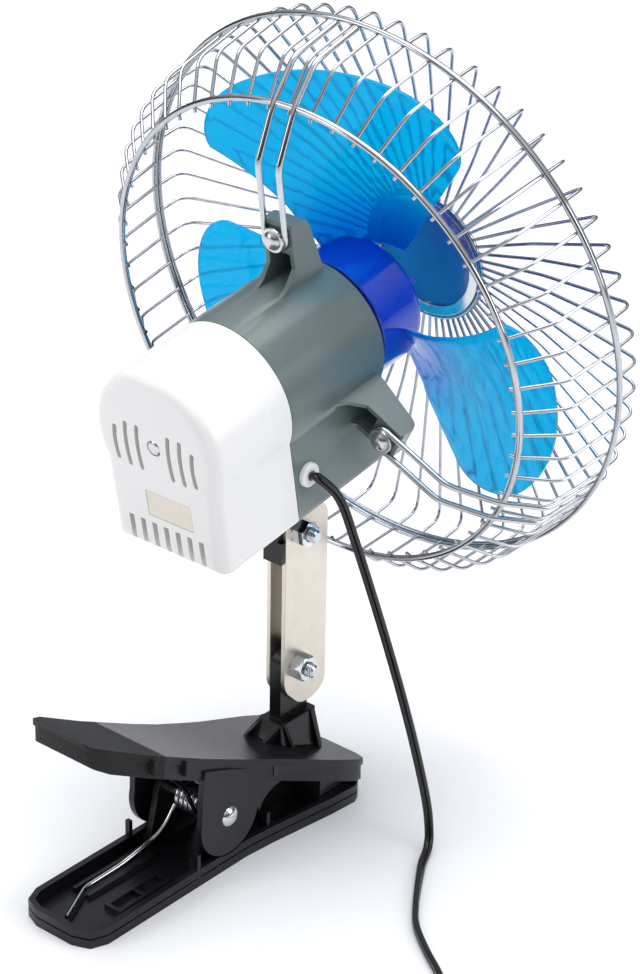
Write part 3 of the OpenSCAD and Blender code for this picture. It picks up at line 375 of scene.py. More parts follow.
def skinned(bm, stops):
    """Extrudes the first loop of points from stop to stop, and closes both ends."""
    ring = first = [bm.verts.new(p) for p in stops[0]]
    loop = [bm.edges.new((ring[k - 1], ring[k])) for k in range(len(ring))]
    for spots in stops[1:]:
        made = bmesh.ops.extrude_edge_only(bm, edges=loop)["geom"]
        fresh = {v for v in made if isinstance(v, bmesh.types.BMVert)}
        loop = [e for e in made if isinstance(e, bmesh.types.BMEdge) and all(v in fresh for v in e.verts)]
        ring = [next(e.other_vert(v) for e in v.link_edges if e.other_vert(v) in fresh) for v in ring]
        for vert, spot in zip(ring, spots):
            vert.co = spot
    bm.faces.new(first)
    bm.faces.new(ring)
    bmesh.ops.recalc_face_normals(bm, faces=bm.faces)
    return bm


def sweep(bm, line, section, wide=None):
    """Carries a section along a line by extruding its edge loop from stop to stop, and closes both ends.
    The section is a list of points across the line; wide is the direction that its first axis keeps to."""
    line = [Vector(p) for p in line]
    across, stops = None, []
    for i, here in enumerate(line):
        ahead = (line[min(len(line) - 1, i + 1)] - line[max(0, i - 1)]).normalized()
        if wide is not None:
            across = wide[i] if isinstance(wide, list) else wide
        elif across is None:
            across = ahead.orthogonal()
        across = (across - ahead * across.dot(ahead)).normalized()
        rise = ahead.cross(across)
        stops.append([here + across * x + rise * y for x, y in section])
    return skinned(bm, stops)


def spun(bm, profile, steps=64, closed=False, turn=None):
    """Spins a profile of radius and distance points about Y; turn then brings that axis to another."""
    old = set(bm.verts)
    verts = [bm.verts.new((r, y, 0)) for r, y in profile]
    edges = [bm.edges.new(pair) for pair in zip(verts, verts[1:])]
    if closed:
        edges.append(bm.edges.new((verts[-1], verts[0])))
    bmesh.ops.spin(bm, geom=verts + edges, cent=(0, 0, 0), axis=(0, 1, 0), dvec=(0, 0, 0), angle=math.tau,
                   steps=steps, use_merge=True, use_duplicate=False)
    fresh = [v for v in bm.verts if v not in old]
    bmesh.ops.remove_doubles(bm, verts=fresh, dist=1e-4)
    fresh = [v for v in bm.verts if v not in old]
    bmesh.ops.recalc_face_normals(bm, faces=list({f for v in fresh for f in v.link_faces}))
    if turn is not None:
        bmesh.ops.transform(bm, matrix=turn, verts=fresh)
    return bm


# brings a shape that was spun about Y to the X axis
TO_X = Matrix.Rotation(math.radians(-90), 4, "Z")


def hoop(bm, radius, y, thick, steps=144, sides=12):
    """A ring of round wire about Y."""
    return spun(bm, [(radius + a, y + b) for a, b in round_section(thick / 2, sides)], steps, closed=True)


def around(bm, count, first=0.0):
    """Repeats what is in the bmesh about Y, starting at an angle in degrees."""
    bmesh.ops.rotate(bm, cent=(0, 0, 0), matrix=Matrix.Rotation(math.radians(first), 3, "Y"), verts=bm.verts)
    geom = bm.verts[:] + bm.edges[:] + bm.faces[:]
    bmesh.ops.spin(bm, geom=geom, cent=(0, 0, 0), axis=(0, 1, 0), dvec=(0, 0, 0),
                   angle=math.tau * (count - 1) / count, steps=count - 1, use_merge=False, use_duplicate=True)
    return bm


def block(bm, low, high):
    """A box between two corners."""
    low, high = Vector(low), Vector(high)
    size = high - low
    place = Matrix.Translation((low + high) / 2) @ Matrix.Diagonal((size.x, size.y, size.z, 1))
    return bmesh.ops.create_cube(bm, size=1.0, matrix=place)["verts"]


def joined(bm, other):
    """The first bmesh with the second added to it as it is."""
    mesh = bpy.data.meshes.new("other")
    other.to_mesh(mesh)
    other.free()
    bm.from_mesh(mesh)
    bpy.data.meshes.remove(mesh)
    return bm


def carved(bm, cutter):
    """The first bmesh with the second cut out of it."""
    blanks = []
    for shape in (bm, cutter):
        mesh = bpy.data.meshes.new("blank")
        shape.to_mesh(mesh)
        shape.free()
        blank = bpy.data.objects.new("blank", mesh)
        scene.collection.objects.link(blank)
        blanks.append(blank)
    cut = blanks[0].modifiers.new("cut", "BOOLEAN")
    cut.object = blanks[1]
    cut.operation = "DIFFERENCE"
    cut.solver = "EXACT"
    result = bmesh.new()
    result.from_object(blanks[0], bpy.context.evaluated_depsgraph_get())
    for blank in blanks:
        mesh = blank.data
        bpy.data.objects.remove(blank)
        bpy.data.meshes.remove(mesh)
    return result


def prism(bm, outline, low, high, place=None):
    """An upright prism over an outline of x and y points; place then turns it."""
    rings = [[bm.verts.new((x, y, z)) for x, y in outline] for z in (low, high)]
    faces = [bm.faces.new(ring) for ring in rings]
    for i in range(len(outline)):
        faces.append(bm.faces.new((rings[0][i - 1], rings[0][i], rings[1][i], rings[1][i - 1])))
    bmesh.ops.recalc_face_normals(bm, faces=faces)
    if place is not None:
        bmesh.ops.transform(bm, matrix=place, verts=rings[0] + rings[1])
    return bm


# turns an upright prism so that it runs along Y, or along X
ALONG_Y = Matrix(((1, 0, 0, 0), (0, 0, 1, 0), (0, 1, 0, 0), (0, 0, 0, 1)))
ALONG_X = Matrix(((0, 0, 1, 0), (1, 0, 0, 0), (0, 1, 0, 0), (0, 0, 0, 1)))
# how wide each arm of a screw's cross recess is
RECESS_W = 0.84


def cross_recess(bm, y, radius, turn):
    """The cutter of a cross recess, from y outward: one prism, because crossed boxes can't be cut out together."""
    half = RECESS_W / 2
    outline = []
    for k in range(4):
        for x, z in ((half, half), (half, radius), (-half, radius)):
            a = math.radians(turn + 90 * k)
            outline.append((x * math.cos(a) - z * math.sin(a), x * math.sin(a) + z * math.cos(a)))
    return prism(bm, outline, y, y + 4, ALONG_Y)


# the cord: its route in millimetres, the same as the frame's

TILT_COS, TILT_SIN = math.cos(math.radians(HEAD_TILT)), math.sin(math.radians(HEAD_TILT))
CORD_EXIT = Vector((-CHIN_HW - GROMMET_OUT, HEAD_Y + GROMMET_S * TILT_COS + GROMMET_U * TILT_SIN,
                    HEAD_Z - GROMMET_S * TILT_SIN + GROMMET_U * TILT_COS))
# the way that the cord runs into the coil and the plug lies, and the coil's middle, size and start
ALONG = Vector((-0.6, 0.8, 0))
COIL_C, COIL_R, COIL_TURNS, COIL_Z, COIL_START = Vector((-176.7, 28.5, 0)), 29.8, 10, CORD_D / 2 + 0.5, 36.87
COIL_PITCH, COIL_RISE, COIL_HALF = CORD_D + 0.55, CORD_D + 0.7, (COIL_TURNS - 0.5) / 2
# where the lead hangs and lies between the grommet and the coil, its seen part as in the photograph
LEAD_HANGS = [(-34, -37, 139), (-38, -42, 120), (-45, -50, 84), (-53, -55, 50), (-59, -58.5, 20), (-62, -57.6, 7)]
LEAD_LIES = [(-64.4, -54, 1.9), (-69, -45, 1.75), (-76.3, -33.7, 1.75), (-83, -24, 1.75), (-91, -14.3, 1.75),
             (-103, -5, 1.75), (-115, 3, 1.75), (-128, 14, 1.75), (-140, 27, 1.75)]
# where the cord enters the plug: how far past the coil's end, and its height
PLUG_AWAY, PLUG_Z = 30, 10.6
# the lead changes from one body to the next at these heights
LEAD_STOPS = (113, 80, 47, 12)


def coil_point(t):
    """A point of the rest coil after t turns: inward in the lower layer, outward in the upper one."""
    down, up = min(t, COIL_HALF), max(0, t - COIL_HALF - 0.5)
    k = min(1, max(0, (t - COIL_HALF) / 0.5))
    r = COIL_R - COIL_PITCH * (down - up) - 0.6 * math.sin(math.pi * k)
    a = math.radians(COIL_START) + math.tau * t
    z = COIL_Z + COIL_RISE * (1 - math.cos(math.pi * k)) / 2
    return Vector((COIL_C.x + r * math.cos(a), COIL_C.y + r * math.sin(a), z))


def cord_routes():
    """The hanging and lying lead, then the coil and the tail that ends in the plug."""
    join = coil_point(0)
    lead = [CORD_EXIT, CORD_EXIT + Vector((-CORD_D, 0, 0))] + LEAD_HANGS + LEAD_LIES
    lead += [join - 9 * ALONG, join - 4 * ALONG]
    end = coil_point(COIL_TURNS)
    plug = end + PLUG_AWAY * ALONG + Vector((0, 0, PLUG_Z - end.z))
    coil = [coil_point(i / 24) for i in range(24 * COIL_TURNS + 1)]
    tail = eased([end + 4 * ALONG, end + 8 * ALONG, end + 16 * ALONG + Vector((0, 0, 1.8)),
                  plug - 8 * ALONG - Vector((0, 0, 0.9)), plug - 4 * ALONG, plug], 3)
    # the cord runs on through the relief into the plug's body
    return eased(lead, 6), coil + tail + [plug + k * ALONG for k in (5, 10, 15, 20)]


def twin_section():
    """Two cores side by side in one sleeve, with a groove between them, 3.4 across."""
    lobe, apart = 1.2, 0.5
    half = [(apart + lobe * math.cos(a), lobe * math.sin(a)) for a in (math.radians(-100 + 25 * k) for k in range(9))]
    return half + [(0, 0.78)] + [(-x, -y) for x, y in half] + [(0, -0.78)]


def make_cord():
    """The lead between the grommet and the floor is cut into stretches, one across each joint, which are attached to no
    body.
    """
    lead, rest = cord_routes()
    stops = [0]
    for height in LEAD_STOPS:
        stops.append(next(i for i, p in enumerate(lead) if p.z < height))
    joints = [("head", "neck"), ("neck", "link"), ("link", "upper_jaw"), ("upper_jaw", "lower_jaw")]
    side = Vector((0.62, 0.78, 0))
    for k, (above, below) in enumerate(joints):
        line = lead[stops[k]:stops[k + 1] + 1]
        bm = sweep(bmesh.new(), line, twin_section(), side)
        piece = shown("cord_stretch_%d" % (k + 1), bm, "cord", None, ["cord_lead"], UNTURNED)
        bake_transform(piece)
    line = lead[stops[-1]:] + rest
    upright = Vector((0, 0, 1))
    # hanging, the two cores lie beside each other; on the floor they come to stand on each other
    wide = [side.lerp(upright, min(1, max(0, (i - 6) / 20))) for i in range(len(line))]
    bm = sweep(bmesh.new(), line, twin_section(), wide)
    piece = shown("cord_floor_and_coil", bm, "cord", "lower_jaw", ["cord_lead", "cord_coil", "cord_tail"], UNTURNED)
    ends = [dress("cord_tie", "tie", 0.15), dress("plug_relief", "plug", 0.3), dress("plug_body", "plug", 0.4),
            dress("plug_nose", "plug", 0.4), dress("plug_tip", "rivet", 0.2), dress("plug_side_springs", "rivet", 0.15)]


# clamp and stand

# one half of the rivet, radius and place along it, from its end to the jaws
RIVET_HEAD = [(0, 19.4), (1.6, 19.2), (2.9, 18.6), (3.7, 17.9), (4, 17.5), (4, 17.3), (2.5, 17.3)]
# the spring's coil: points a turn, and the angle in degrees at which the lower leg meets it
SPRING_STEPS, SPRING_FROM = 32, -40
# the lower leg, from under the handle to the coil
LOW_LEG = [(0, 64.5, 4.1), (8, 47.5, 4.1), (7.2, 30, 5.2), (6.4, 14, 8.4), (5.9, 8, PIVOT_Z - 9)]
# the upper leg's y and height
HIGH_LEG = [(12, PIVOT_Z + 13.6), (25, PIVOT_Z + 26.7), (31, 56.7)]


def make_rivet():
    """The pivot pin with its two domed heads."""
    profile = [(r, -x) for r, x in RIVET_HEAD] + RIVET_HEAD[::-1]
    rivet = spun(bmesh.new(), profile, 40, turn=TO_X)
    place = Matrix.Translation((0, 0, PIVOT_Z * MM))
    shown("pivot_rivet", rivet, "rivet", "lower_jaw", ["pivot_pin"], place, smooth=60)


def make_spring():
    """One unbroken wire: lower leg, coil round the pin, upper leg."""
    wide = (SPRING_WIRE + 0.45) * SPRING_TURNS
    count = SPRING_STEPS * SPRING_TURNS
    coil = []
    for i in range(count + 1):
        a = math.radians(SPRING_FROM - i * 360 / SPRING_STEPS)
        coil.append((wide / 2 - i * wide / count, SPRING_R * math.cos(a), PIVOT_Z + SPRING_R * math.sin(a)))
    low_leg = bent(LOW_LEG + [coil[0]], 3)
    high_leg = bent([coil[-1]] + [(-wide / 2, y, z) for y, z in HIGH_LEG], 3)
    spring = sweep(bmesh.new(), low_leg[:-1] + coil + high_leg[1:], round_section(SPRING_WIRE / 2))
    wire = shown("clamp_spring_wire", spring, "spring", None, ["clamp_spring"], UNTURNED, smooth=60)
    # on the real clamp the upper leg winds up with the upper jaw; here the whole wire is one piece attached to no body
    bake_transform(wire)


def make_clamp():
    """The two jaws, their pin and their spring."""
    dress("lower_jaw", "clamp", 0.55, 3)
    dress("upper_jaw", "clamp", 0.6, 3)
    make_rivet()
    make_spring()


# the bolt's threaded end on X, and the thread's pitch and root radius
BOLT_END, THREAD_PITCH, THREAD_ROOT = -12.6, 0.8, 2.05
# the socket head, radius and distance from the plate
BOLT_HEAD = [(4.4, 0), (4.4, 2.4), (4.1, 3), (3.6, 3.2), (2.1, 3.2), (1.95, 3), (1.95, 1.4), (0, 1.4)]


def make_bolt(which, z):
    """Shank, rolled thread at the nut's side and a socket head at the other."""
    profile = [(0, BOLT_END), (1.7, BOLT_END), (2.1, BOLT_END + 0.3)]
    x = BOLT_END + 0.4
    while x < -PLATE_OUT - NUT_H - 0.2:
        profile += [(BOLT_R, x + 0.2), (BOLT_R, x + 0.34), (THREAD_ROOT, x + 0.6)]
        x += THREAD_PITCH
    profile += [(BOLT_R, -PLATE_OUT - NUT_H + 0.1), (BOLT_R, PLATE_OUT)]
    profile += [(r, PLATE_OUT + far) for r, far in BOLT_HEAD]
    bm = spun(bmesh.new(), profile, 36, turn=TO_X)
    shown(which + "_bolt_threaded", bm, "bolt", BODIES[which + "_bolt"], [which + "_bolt"],
          Matrix.Translation((0, BOLT_Y * MM, z * MM)), smooth=35)


def make_nut(which, z):
    """A plain hexagon nut, its corners chamfered at both ends."""
    bore, flat, corner, cut = BOLT_R + 0.02, NUT_FLATS / 2, NUT_FLATS / math.sqrt(3), 0.4
    near, far = -PLATE_OUT, -PLATE_OUT - NUT_H
    bm = spun(bmesh.new(), [(bore, near), (flat, near), (corner, near - cut), (corner, far + cut), (flat, far),
                            (bore + 0.38, far), (bore, far + cut)], 96, closed=True, turn=TO_X)
    for k in range(3):
        cutter = bmesh.new()
        for side in (-1, 1):
            low, high = sorted((side * flat, side * NUT_FLATS))
            block(cutter, (far - 1, -4, low), (near + 1, 4, high))
        turn = Matrix.Rotation(math.radians(60 * k + NUT_TURN[which]), 3, "X")
        bmesh.ops.rotate(cutter, cent=(0, 0, 0), matrix=turn, verts=cutter.verts)
        bm = carved(bm, cutter)
    shown(which + "_nut_hexagon", bm, "nut", BODIES[which + "_nut"], [which + "_nut"],
          Matrix.Translation((0, BOLT_Y * MM, z * MM)), 0.12, 1, 25, smooth=25)


# a link plate's outline before its corners are rounded: y from the bolts, and height. The first point is
# halfway down its long rear edge and makes no corner.
PLATE_CORNERS = [(PLATE_BACK, BOLT_LOW_Z), (PLATE_BACK, BOLT_LOW_Z - 8.4), (-1.2, BOLT_LOW_Z - 17.2),
                 (-9, BOLT_LOW_Z - 17.2), (-PLATE_FRONT, BOLT_LOW_Z - 13.6), (-PLATE_FRONT, BOLT_UP_Z + 7),
                 (PLATE_BACK, BOLT_UP_Z + 7)]
PLATE_ROUND = 6.5


def make_plate(side):
    """A steel strip with round ends and its two bolt holes."""
    corners = [Vector(p) for p in PLATE_CORNERS]
    outline = []
    for i, here in enumerate(corners):
        after = corners[(i + 1) % len(corners)]
        outline += corner_bend(corners[i - 1], here, after, PLATE_ROUND, 1 if i == 0 else 8)
    low, high = (-PLATE_OUT, -PLATE_OUT + PLATE_T) if side == "near" else (PLATE_OUT - PLATE_T, PLATE_OUT)
    bm = prism(bmesh.new(), [(BOLT_Y + y, z) for y, z in outline], low, high, ALONG_X)
    bore = BOLT_R + BOLT_FIT
    holes = bmesh.new()
    for z in (BOLT_LOW_Z, BOLT_UP_Z):
        hole = spun(bmesh.new(), [(0, low - 1), (bore, low - 1), (bore, high + 1), (0, high + 1)], 48, turn=TO_X)
        bmesh.ops.translate(hole, vec=(0, BOLT_Y, z), verts=hole.verts)
        joined(holes, hole)
    bm = carved(bm, holes)
    shown("link_plate_" + side + "_rounded", bm, "plate", "link", ["link_plate_" + side], UNTURNED, 0.22, 2)


# the post's flanks: half width, front and rear at their top and at their foot on the jaw, and the top's height
FLANK_TOP, FLANK_FOOT, FLANK_TOP_Z = (5.2, -60.2, -41.2), (8.2, -61.6, -38.6), 34.6


def make_flanks():
    """The stand post's block between its gussets, which widens down to the jaw."""
    flanks = bmesh.new()
    rings = []
    for (half, front, rear), level in ((FLANK_TOP, FLANK_TOP_Z), (FLANK_FOOT, None)):
        corners = ((-half, front), (half, front), (half, rear), (-half, rear))
        rings.append([flanks.verts.new((x, y, level or jaw_top(y))) for x, y in corners])
    top, foot = rings
    flanks.faces.new(top)
    flanks.faces.new(foot)
    for i in range(4):
        flanks.faces.new((top[i - 1], top[i], foot[i], foot[i - 1]))
    bmesh.ops.recalc_face_normals(flanks, faces=flanks.faces[:])
    shown("stand_post_flanks", flanks, "post", BODIES["stand_post"], ["stand_post"], UNTURNED, 0.4, 2)


def make_stand():
    """The post, the neck, the plates between them and their bolts."""
    dress("stand_post", "post", 0.45, 2)
    make_flanks()
    dress("swivel_neck", "post", 0.4, 2)
    keep("post_screw", "screw")
    keep("swivel_clip", "steel")
    for side in ("near", "far"):
        make_plate(side)
    for which, z in (("lower", BOLT_LOW_Z), ("upper", BOLT_UP_Z)):
        make_bolt(which, z)
        make_nut(which, z)


# head

# the radius of the housing's two lower edges
CHIN_ROUND = 4


def shell_outline(inset):
    """The housing's outline across the fan axis, x and up: a barrel with a box below it, rounded at its corners."""
    r, x, d = BARREL_R - inset, CHIN_HW - inset, CHIN_D - inset
    corner = max(CHIN_ROUND - inset, 0.8)
    meet = math.acos(-math.sqrt(max(0.0, r * r - x * x)) / r)
    half = [(r * math.sin(meet * i / 26), r * math.cos(meet * i / 26)) for i in range(27)]
    half += [(x, half[-1][1] + (corner - d - half[-1][1]) * i / 4) for i in range(1, 5)]
    half += [(x - corner + corner * math.cos(a), corner - d - corner * math.sin(a)) for a in
             (math.radians(15 * i) for i in range(1, 7))]
    half += [((x - corner) * (1 - i / 4), -d) for i in range(1, 4)]
    return half + [(0, -d)] + [(-a, b) for a, b in reversed(half[1:])]


def loft(bm, stops):
    """Extrudes the housing's outline through stops of distance along the fan axis and inset, closed at both ends."""
    return skinned(bm, [[(x, y, z) for x, z in shell_outline(inset)] for y, inset in stops])


# the cover's slots: x and the low and high end of each upper one, their half width and their bow
SLOTS = [(-17.4, -10, 4), (-12.2, -11, 7), (-7, -11, 7), (7, -11, 7), (12.2, -11, 7), (17.4, -10, 4)]
SLOT_HALF, SLOT_BOW, SLOT_SHIFT, SLOT_DEEP = 0.9, 0.9, -0.3, 9
# the lower ones: how many to each side of the middle, their spacing, half width and height
LOW_SLOTS, LOW_SLOT_STEP, LOW_SLOT_HALF, LOW_SLOT_H = 3, 5.3, 1.1, 13
# the label's seat: its lower left and upper right corner seen from the front, and its depth
LABEL_SEAT = ((-13.2, -29.4), (7.2, -19), 0.5)
COVER_ROUND, SCREW_SEAT_R, SCREW_SEAT_DEEP = 5, 3, 1.2


def slot_cutter(bm, x, low, high):
    """A rounded slot, its middle bowed a little to one side."""
    middle, half = (low + high) / 2, (high - low) / 2
    straight = half - SLOT_HALF
    edge = []
    for side in (1, -1):
        for i in range(13):
            z = middle + side * straight * (1 - i / 6)
            bow = SLOT_BOW * (1 - ((z - middle) / half) ** 2)
            edge.append((x + bow + side * SLOT_HALF + SLOT_SHIFT, z))
        for a in (45, 90, 135):
            t = math.radians(a)
            bow = SLOT_BOW * (1 - (straight / half) ** 2)
            edge.append((x + bow + SLOT_SHIFT + side * SLOT_HALF * math.cos(t),
                         middle - side * straight - side * SLOT_HALF * math.sin(t)))
    front = [bm.verts.new((a, COVER_END - SLOT_DEEP, b)) for a, b in edge]
    face = bm.faces.new(front)
    made = bmesh.ops.extrude_face_region(bm, geom=[face])["geom"]
    bmesh.ops.translate(bm, vec=(0, SLOT_DEEP + 3, 0), verts=[v for v in made if isinstance(v, bmesh.types.BMVert)])
    bmesh.ops.recalc_face_normals(bm, faces=bm.faces)


def make_cover():
    """White rear cover: a moulded shell whose rear rim is rounded, with slots that let the motor's heat out."""
    inside = [(COVER_END - 2.2, 6.4), (COVER_END - 3, 5), (COVER_END - 5.4, 3), (COVER_END - 8, WALL),
              (SEAM + 0.05, WALL)]
    outside = [(SEAM + 0.05, 0.35), (SEAM + 0.4, 0), (COVER_END - COVER_ROUND, 0)]
    rim = [(COVER_END - COVER_ROUND + COVER_ROUND * math.sin(a), COVER_ROUND * (1 - math.cos(a)))
           for a in (math.radians(15 * k) for k in range(1, 7))]
    shell = loft(bmesh.new(), inside + outside + rim)
    cutter = bmesh.new()
    for x, low, high in SLOTS:
        slot_cutter(cutter, x, low, high)
    for i in range(-LOW_SLOTS, LOW_SLOTS + 1):
        middle = i * LOW_SLOT_STEP
        block(cutter, (middle - LOW_SLOT_HALF, COVER_END - SLOT_DEEP, -CHIN_D - 3),
              (middle + LOW_SLOT_HALF, COVER_END + 3, -CHIN_D + LOW_SLOT_H))
    (left, bottom), (right, top), deep = LABEL_SEAT
    block(cutter, (left, COVER_END - deep, bottom), (right, COVER_END + 3, top))
    seat = COVER_END - SCREW_SEAT_DEEP
    spun(cutter, [(0, seat), (SCREW_SEAT_R, seat), (SCREW_SEAT_R, COVER_END + 2), (0, COVER_END + 2)], 32)
    shell = carved(shell, cutter)
    shown("rear_cover_moulded", shell, "cover", "head", ["rear_cover"], HEAD, 0.22, 2, 50, 38)
    dress("label_plate", "label", 0.08, 1)


# screws, radius and distance: the cover's head counts from the cover's end, the rest from the head's origin
COVER_SCREW_HEAD = [(0, 0.4), (1.4, 0.34), (2.3, 0.1), (2.8, -0.4), (2.8, -1.1), (1.5, -1.1)]
COVER_SCREW_SHANK = [(1.5, 98), (0, 97)]
LUG_SCREW = [(0, 50.8), (1.6, 50.7), (2.7, 50.2), (3.4, 49.4), (3.4, 49), (4.5, 49), (4.6, 48.9), (4.6, 48.3),
             (4.5, 48.2), (1.3, 48.2), (1.3, 39), (0, 38)]


def make_screws():
    """The screw of the rear cover and the three that hold the guard's struts, with cross recesses."""
    cover = spun(bmesh.new(), [(r, COVER_END + far) for r, far in COVER_SCREW_HEAD] + COVER_SCREW_SHANK, 40)
    cover = carved(cover, cross_recess(bmesh.new(), COVER_END - 1.0, 1.8, 20))
    shown("rear_cover_screw_crossed", cover, "screw", "head", ["rear_cover_screw"], HEAD, 0.08, 1, 50)
    lug = carved(spun(bmesh.new(), LUG_SCREW, 40), cross_recess(bmesh.new(), 49.3, 2.1, 30))
    bmesh.ops.translate(lug, vec=(0, 0, LUG_U), verts=lug.verts)
    shown("guard_screws_crossed", around(lug, 3), "screw", "head", ["guard_screws"], HEAD, 0.08, 1, 50)


# the cord's grommet: radius, and distance from the housing's side wall
GROMMET = [(1.72, -2), (3.7, -2), (4.2, -1.7), (4.4, -1.2), (4.4, 0), (3.6, 0), (3.6, WALL), (4.4, WALL),
           (4.4, WALL + 1.2), (1.72, WALL + 1.2)]
# nodes inside the head, which stay as they are
INSIDE = {"motor_can": "steel", "motor_end_cap": "plug", "motor_magnets": "magnet", "motor_mount_screws": "screw",
          "armature": "copper", "motor_shaft": "steel", "worm": "gear", "worm_wheel": "gear",
          "gear_frame": "steel", "drive_link": "steel"}


def make_housing():
    """The grey housing, its grommet and what is inside it."""
    dress("motor_housing", "housing", 0.5, 3)
    collar = spun(bmesh.new(), GROMMET, 40, closed=True, turn=TO_X)
    place = HEAD @ Matrix.Translation((-CHIN_HW * MM, GROMMET_S * MM, GROMMET_U * MM))
    shown("cable_grommet_round", collar, "grommet", "head", ["cable_grommet"], place, 0.15)
    for node, finish in INSIDE.items():
        keep(node, finish)


# a blade: its root radius, how far it reaches from there, its thickness and the rounding of its edges
BLADE_ROOT, BLADE_REACH, BLADE_T, BLADE_EDGE = 23, 65, 1.5, 0.45
# its leading and trailing edge, in degrees from upright, and where and how far each turns in at the tip
LEAD_EDGE, LEAD_SWEEP, LEAD_TIP_FROM, LEAD_TIP, LEAD_TIP_TURN, LEAD_TIP_LONG = 26, 0.38, 74, 45, 17, 14
TRAIL_EDGE, TRAIL_TIP_FROM, TRAIL_TIP_TURN, TRAIL_TIP_LONG = -35, 70, 22, 18
# its pitch: distance to the front per degree, near the hub and further out, and its camber
PITCH_ROOT, PITCH_OUT, PITCH_MIDDLE, CAMBER, BLADE_S = 0.29, 0.27, 4, 1.6, -8.5
# the hub's cup and the cap in its middle: radius and distance
HUB_CUP = [(HUB_R - 1.8, 25), (HUB_R - 0.3, 25), (HUB_R, 24.7), (HUB_R, 7.4), (HUB_R - 0.4, 5.4), (HUB_R - 1.3, 3.7),
           (HUB_R - 2.8, 2.2), (HUB_R - 5, 1), (HUB_R - 8, 0.1), (12, -0.6), (3, -0.6), (3, 1.4), (12, 1.4),
           (HUB_R - 5.6, 2.8), (HUB_R - 2.6, 5.4), (HUB_R - 1.8, 8)]
SPINNER = [(0, -6), (1.8, -5.9), (3.4, -5.5), (4.7, -4.8), (5.8, -3.7), (6.4, -2.2), (6.6, -0.6), (0, -0.6)]


def fallen(r, start, long):
    """How much of a quarter circle the tip's corner has left at a radius, 1 where it starts."""
    return math.sqrt(max(0, 1 - ((r - start) / long) ** 2))


def blade_point(along, across):
    """A point of a blade: along from root to tip and across from its leading edge, both 0 to 1."""
    r = BLADE_ROOT + BLADE_REACH * math.sin(along * math.pi / 2)
    if r < LEAD_TIP_FROM:
        left = LEAD_EDGE + (r - 24) * LEAD_SWEEP
    else:
        left = LEAD_TIP - LEAD_TIP_TURN * (1 - fallen(r, LEAD_TIP_FROM, LEAD_TIP_LONG))
    right = TRAIL_EDGE
    if r >= TRAIL_TIP_FROM:
        right += TRAIL_TIP_TURN * (1 - fallen(r, TRAIL_TIP_FROM, TRAIL_TIP_LONG))
    t = left + (right - left) * across
    pitch = PITCH_ROOT if r < 40 else PITCH_OUT
    s = BLADE_S - (t - PITCH_MIDDLE) * pitch + CAMBER * math.cos(math.radians((t - PITCH_MIDDLE) * 2.2))
    return r * math.sin(math.radians(t)), -s, r * math.cos(math.radians(t))


def make_fan():
    """Three broad twisted blades on one hub."""
    bm = bmesh.new()
    bmesh.ops.create_grid(bm, x_segments=20, y_segments=26, size=1.0)
    for vert in bm.verts:
        vert.co = blade_point((vert.co.y + 1) / 2, (vert.co.x + 1) / 2)
    blades = shown("fan_blades", around(bm, BLADES), "blade", "fan", ["fan_rotor"], HEAD, smooth=60)
    wall = blades.modifiers.new("wall", "SOLIDIFY")
    wall.thickness = BLADE_T * MM
    wall.offset = 0.0
    brink = blades.modifiers.new("rim", "BEVEL")
    brink.width = BLADE_EDGE * MM
    brink.segments = 2
    brink.limit_method = "ANGLE"
    brink.angle_limit = math.radians(50)
    hub = spun(bmesh.new(), HUB_CUP, 96, closed=True)
    spun(hub, [(SHAFT_R, -0.4), (4.6, -0.4), (4.6, 18), (SHAFT_R, 18)], 32, closed=True)
    ribs = bmesh.new()
    block(ribs, (-0.7, 1, 4), (0.7, 13, HUB_R - 1.2))
    joined(hub, around(ribs, 6))
    shown("fan_hub", hub, "hub", "fan", ["fan_rotor"], HEAD, 0.2, 2, 50)
    shown("spinner_cap_domed", spun(bmesh.new(), SPINNER, 40), "spinner", "fan", ["spinner_cap"], HEAD)


# guards

# the route of one wire of each guard: distance along the axis and radius
REAR_WIRE = [(RING_B_S + 0.6, RING_B - 2.6), (RING_B_S - 0.7, RING_B), (KNEE_S, KNEE_R), (0.4, RING_C - 1)]
FRONT_WIRE = [(-1.6, 103.9), (-9.6, 103.9), (-11.8, 103), (-13.5, 100.6), (-24.4, 56), (HUB_RING_S, 25.5)]
# one leg of a hairpin strut, from its eye at a lug to the main ring
STRUT_LEG = [(47.2, 46.5), (46.4, 72.5), (RING_B_S + 1.6, RING_B - 0.6), (KNEE_S, KNEE_R - 0.6), (0.8, RING_C - 1.4)]
# the hoops of each guard: radius, distance along the axis and thickness
REAR_HOOPS = [(RING_C, 0, 2.2), (RING_B, RING_B_S, 2.4)]
FRONT_HOOPS = [(RING_C - 0.85, -1.67, 1.6), (HUB_RING_R, HUB_RING_S, 2)]
# the badge disc: radius and distance along the axis
BADGE = [(0, -30.2), (8, -30.1), (14, -29.8), (18, -29.4), (20.4, -29), (20.4, -28.4), (0, -28.4)]


def make_guard(name, route, bend, hoops, nodes):
    """Bent wires side by side all round, welded to their hoops."""
    wire = sweep(bmesh.new(), bent([(0, s, r) for s, r in route], bend, 3), round_section(WIRE_D / 2, 8))
    guard = around(wire, WIRES, WIRE_START)
    for radius, s, thick in hoops:
        hoop(guard, radius, s, thick)
    shown(name, guard, "wire", "head", nodes, HEAD, smooth=60)


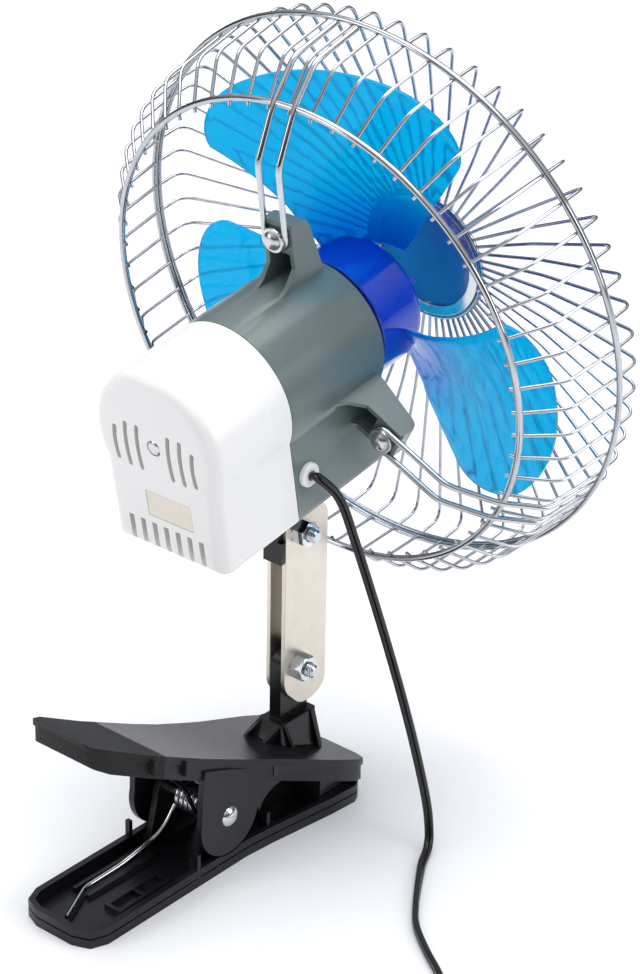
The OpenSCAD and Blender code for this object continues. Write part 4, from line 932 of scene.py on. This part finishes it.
def make_guards():
    """The two guards, the struts that carry them and the badge in front."""
    make_guard("rear_guard_wires", REAR_WIRE, 3.5, REAR_HOOPS, ["main_ring", "rear_ring", "rear_wires"])
    make_guard("front_guard_wires", FRONT_WIRE, 2.5, FRONT_HOOPS, ["front_rim", "front_wires", "front_hub_ring"])
    leg = bent([(STRUT_HALF, s, u) for s, u in STRUT_LEG], 3)
    eye = [Vector((STRUT_HALF * math.cos(a), EYE_S, LUG_U + 0.5 - STRUT_HALF * math.sin(a)))
           for a in (math.radians(15 * k) for k in range(13))]
    route = leg[::-1] + eye + [Vector((-p.x, p.y, p.z)) for p in leg]
    strut = sweep(bmesh.new(), route, round_section(STRUT_D / 2, 12))
    shown("guard_struts_bent", around(strut, 3), "strut", "head", ["guard_struts"], HEAD, smooth=60)
    shown("badge_disc_domed", spun(bmesh.new(), BADGE, 72), "badge", "head", ["badge_disc"], HEAD)
    dress("badge_ring", "trim", 0.3, 2)


# floor, light and the order of making

def set_stage():
    """A pale floor, a bright tent above it, and a darker band at the height of the horizon that the wires reflect."""
    bm = bmesh.new()
    bmesh.ops.create_grid(bm, x_segments=1, y_segments=1, size=4.0)
    mesh = bpy.data.meshes.new("floor")
    bm.to_mesh(mesh)
    bm.free()
    floor = bpy.data.objects.new("floor", mesh)
    scene.collection.objects.link(floor)
    material, tree, shader, place = new_finish("floor_paper_white", Roughness=0.9)
    shader.inputs["Specular IOR Level"].default_value = 0.1
    tree.links.new(tint(tree, drift(tree, place, 300, 0, 1), "#F4F4F5", "#F1F1F3"), shader.inputs["Base Color"])
    mesh.materials.append(material)
    world = bpy.data.worlds.new("studio")
    scene.world = world
    world.use_nodes = True
    tree = world.node_tree
    tree.nodes.clear()
    way = add(tree, "TexCoord").outputs["Generated"]
    height = add(tree, "SeparateXYZ", {"Vector": way}).outputs["Z"]
    lit = ranged(tree, height, 0.1, 0.75, 0.05, 0.85, interpolation_type="SMOOTHSTEP")
    tent = add(tree, "Background", {"Color": (0.94, 0.96, 1.0, 1.0), "Strength": lit})
    add(tree, "OutputWorld", {"Surface": tent.outputs[0]})
    add_light("overhead", (80, -260, 1700), (0, -120, 120), 1.5, 24.0)
    add_light("camera_left", (420, 620, 420), (0, -20, 120), 0.35, 1.1)
    add_light("right_side", (-760, -300, 420), (0, -90, 150), 0.4, 1.6)
    scene.view_settings.view_transform = "Standard"


set_camera()
make_cord()
make_clamp()
make_stand()
make_cover()
make_screws()
make_housing()
make_fan()
make_guards()
set_stage()
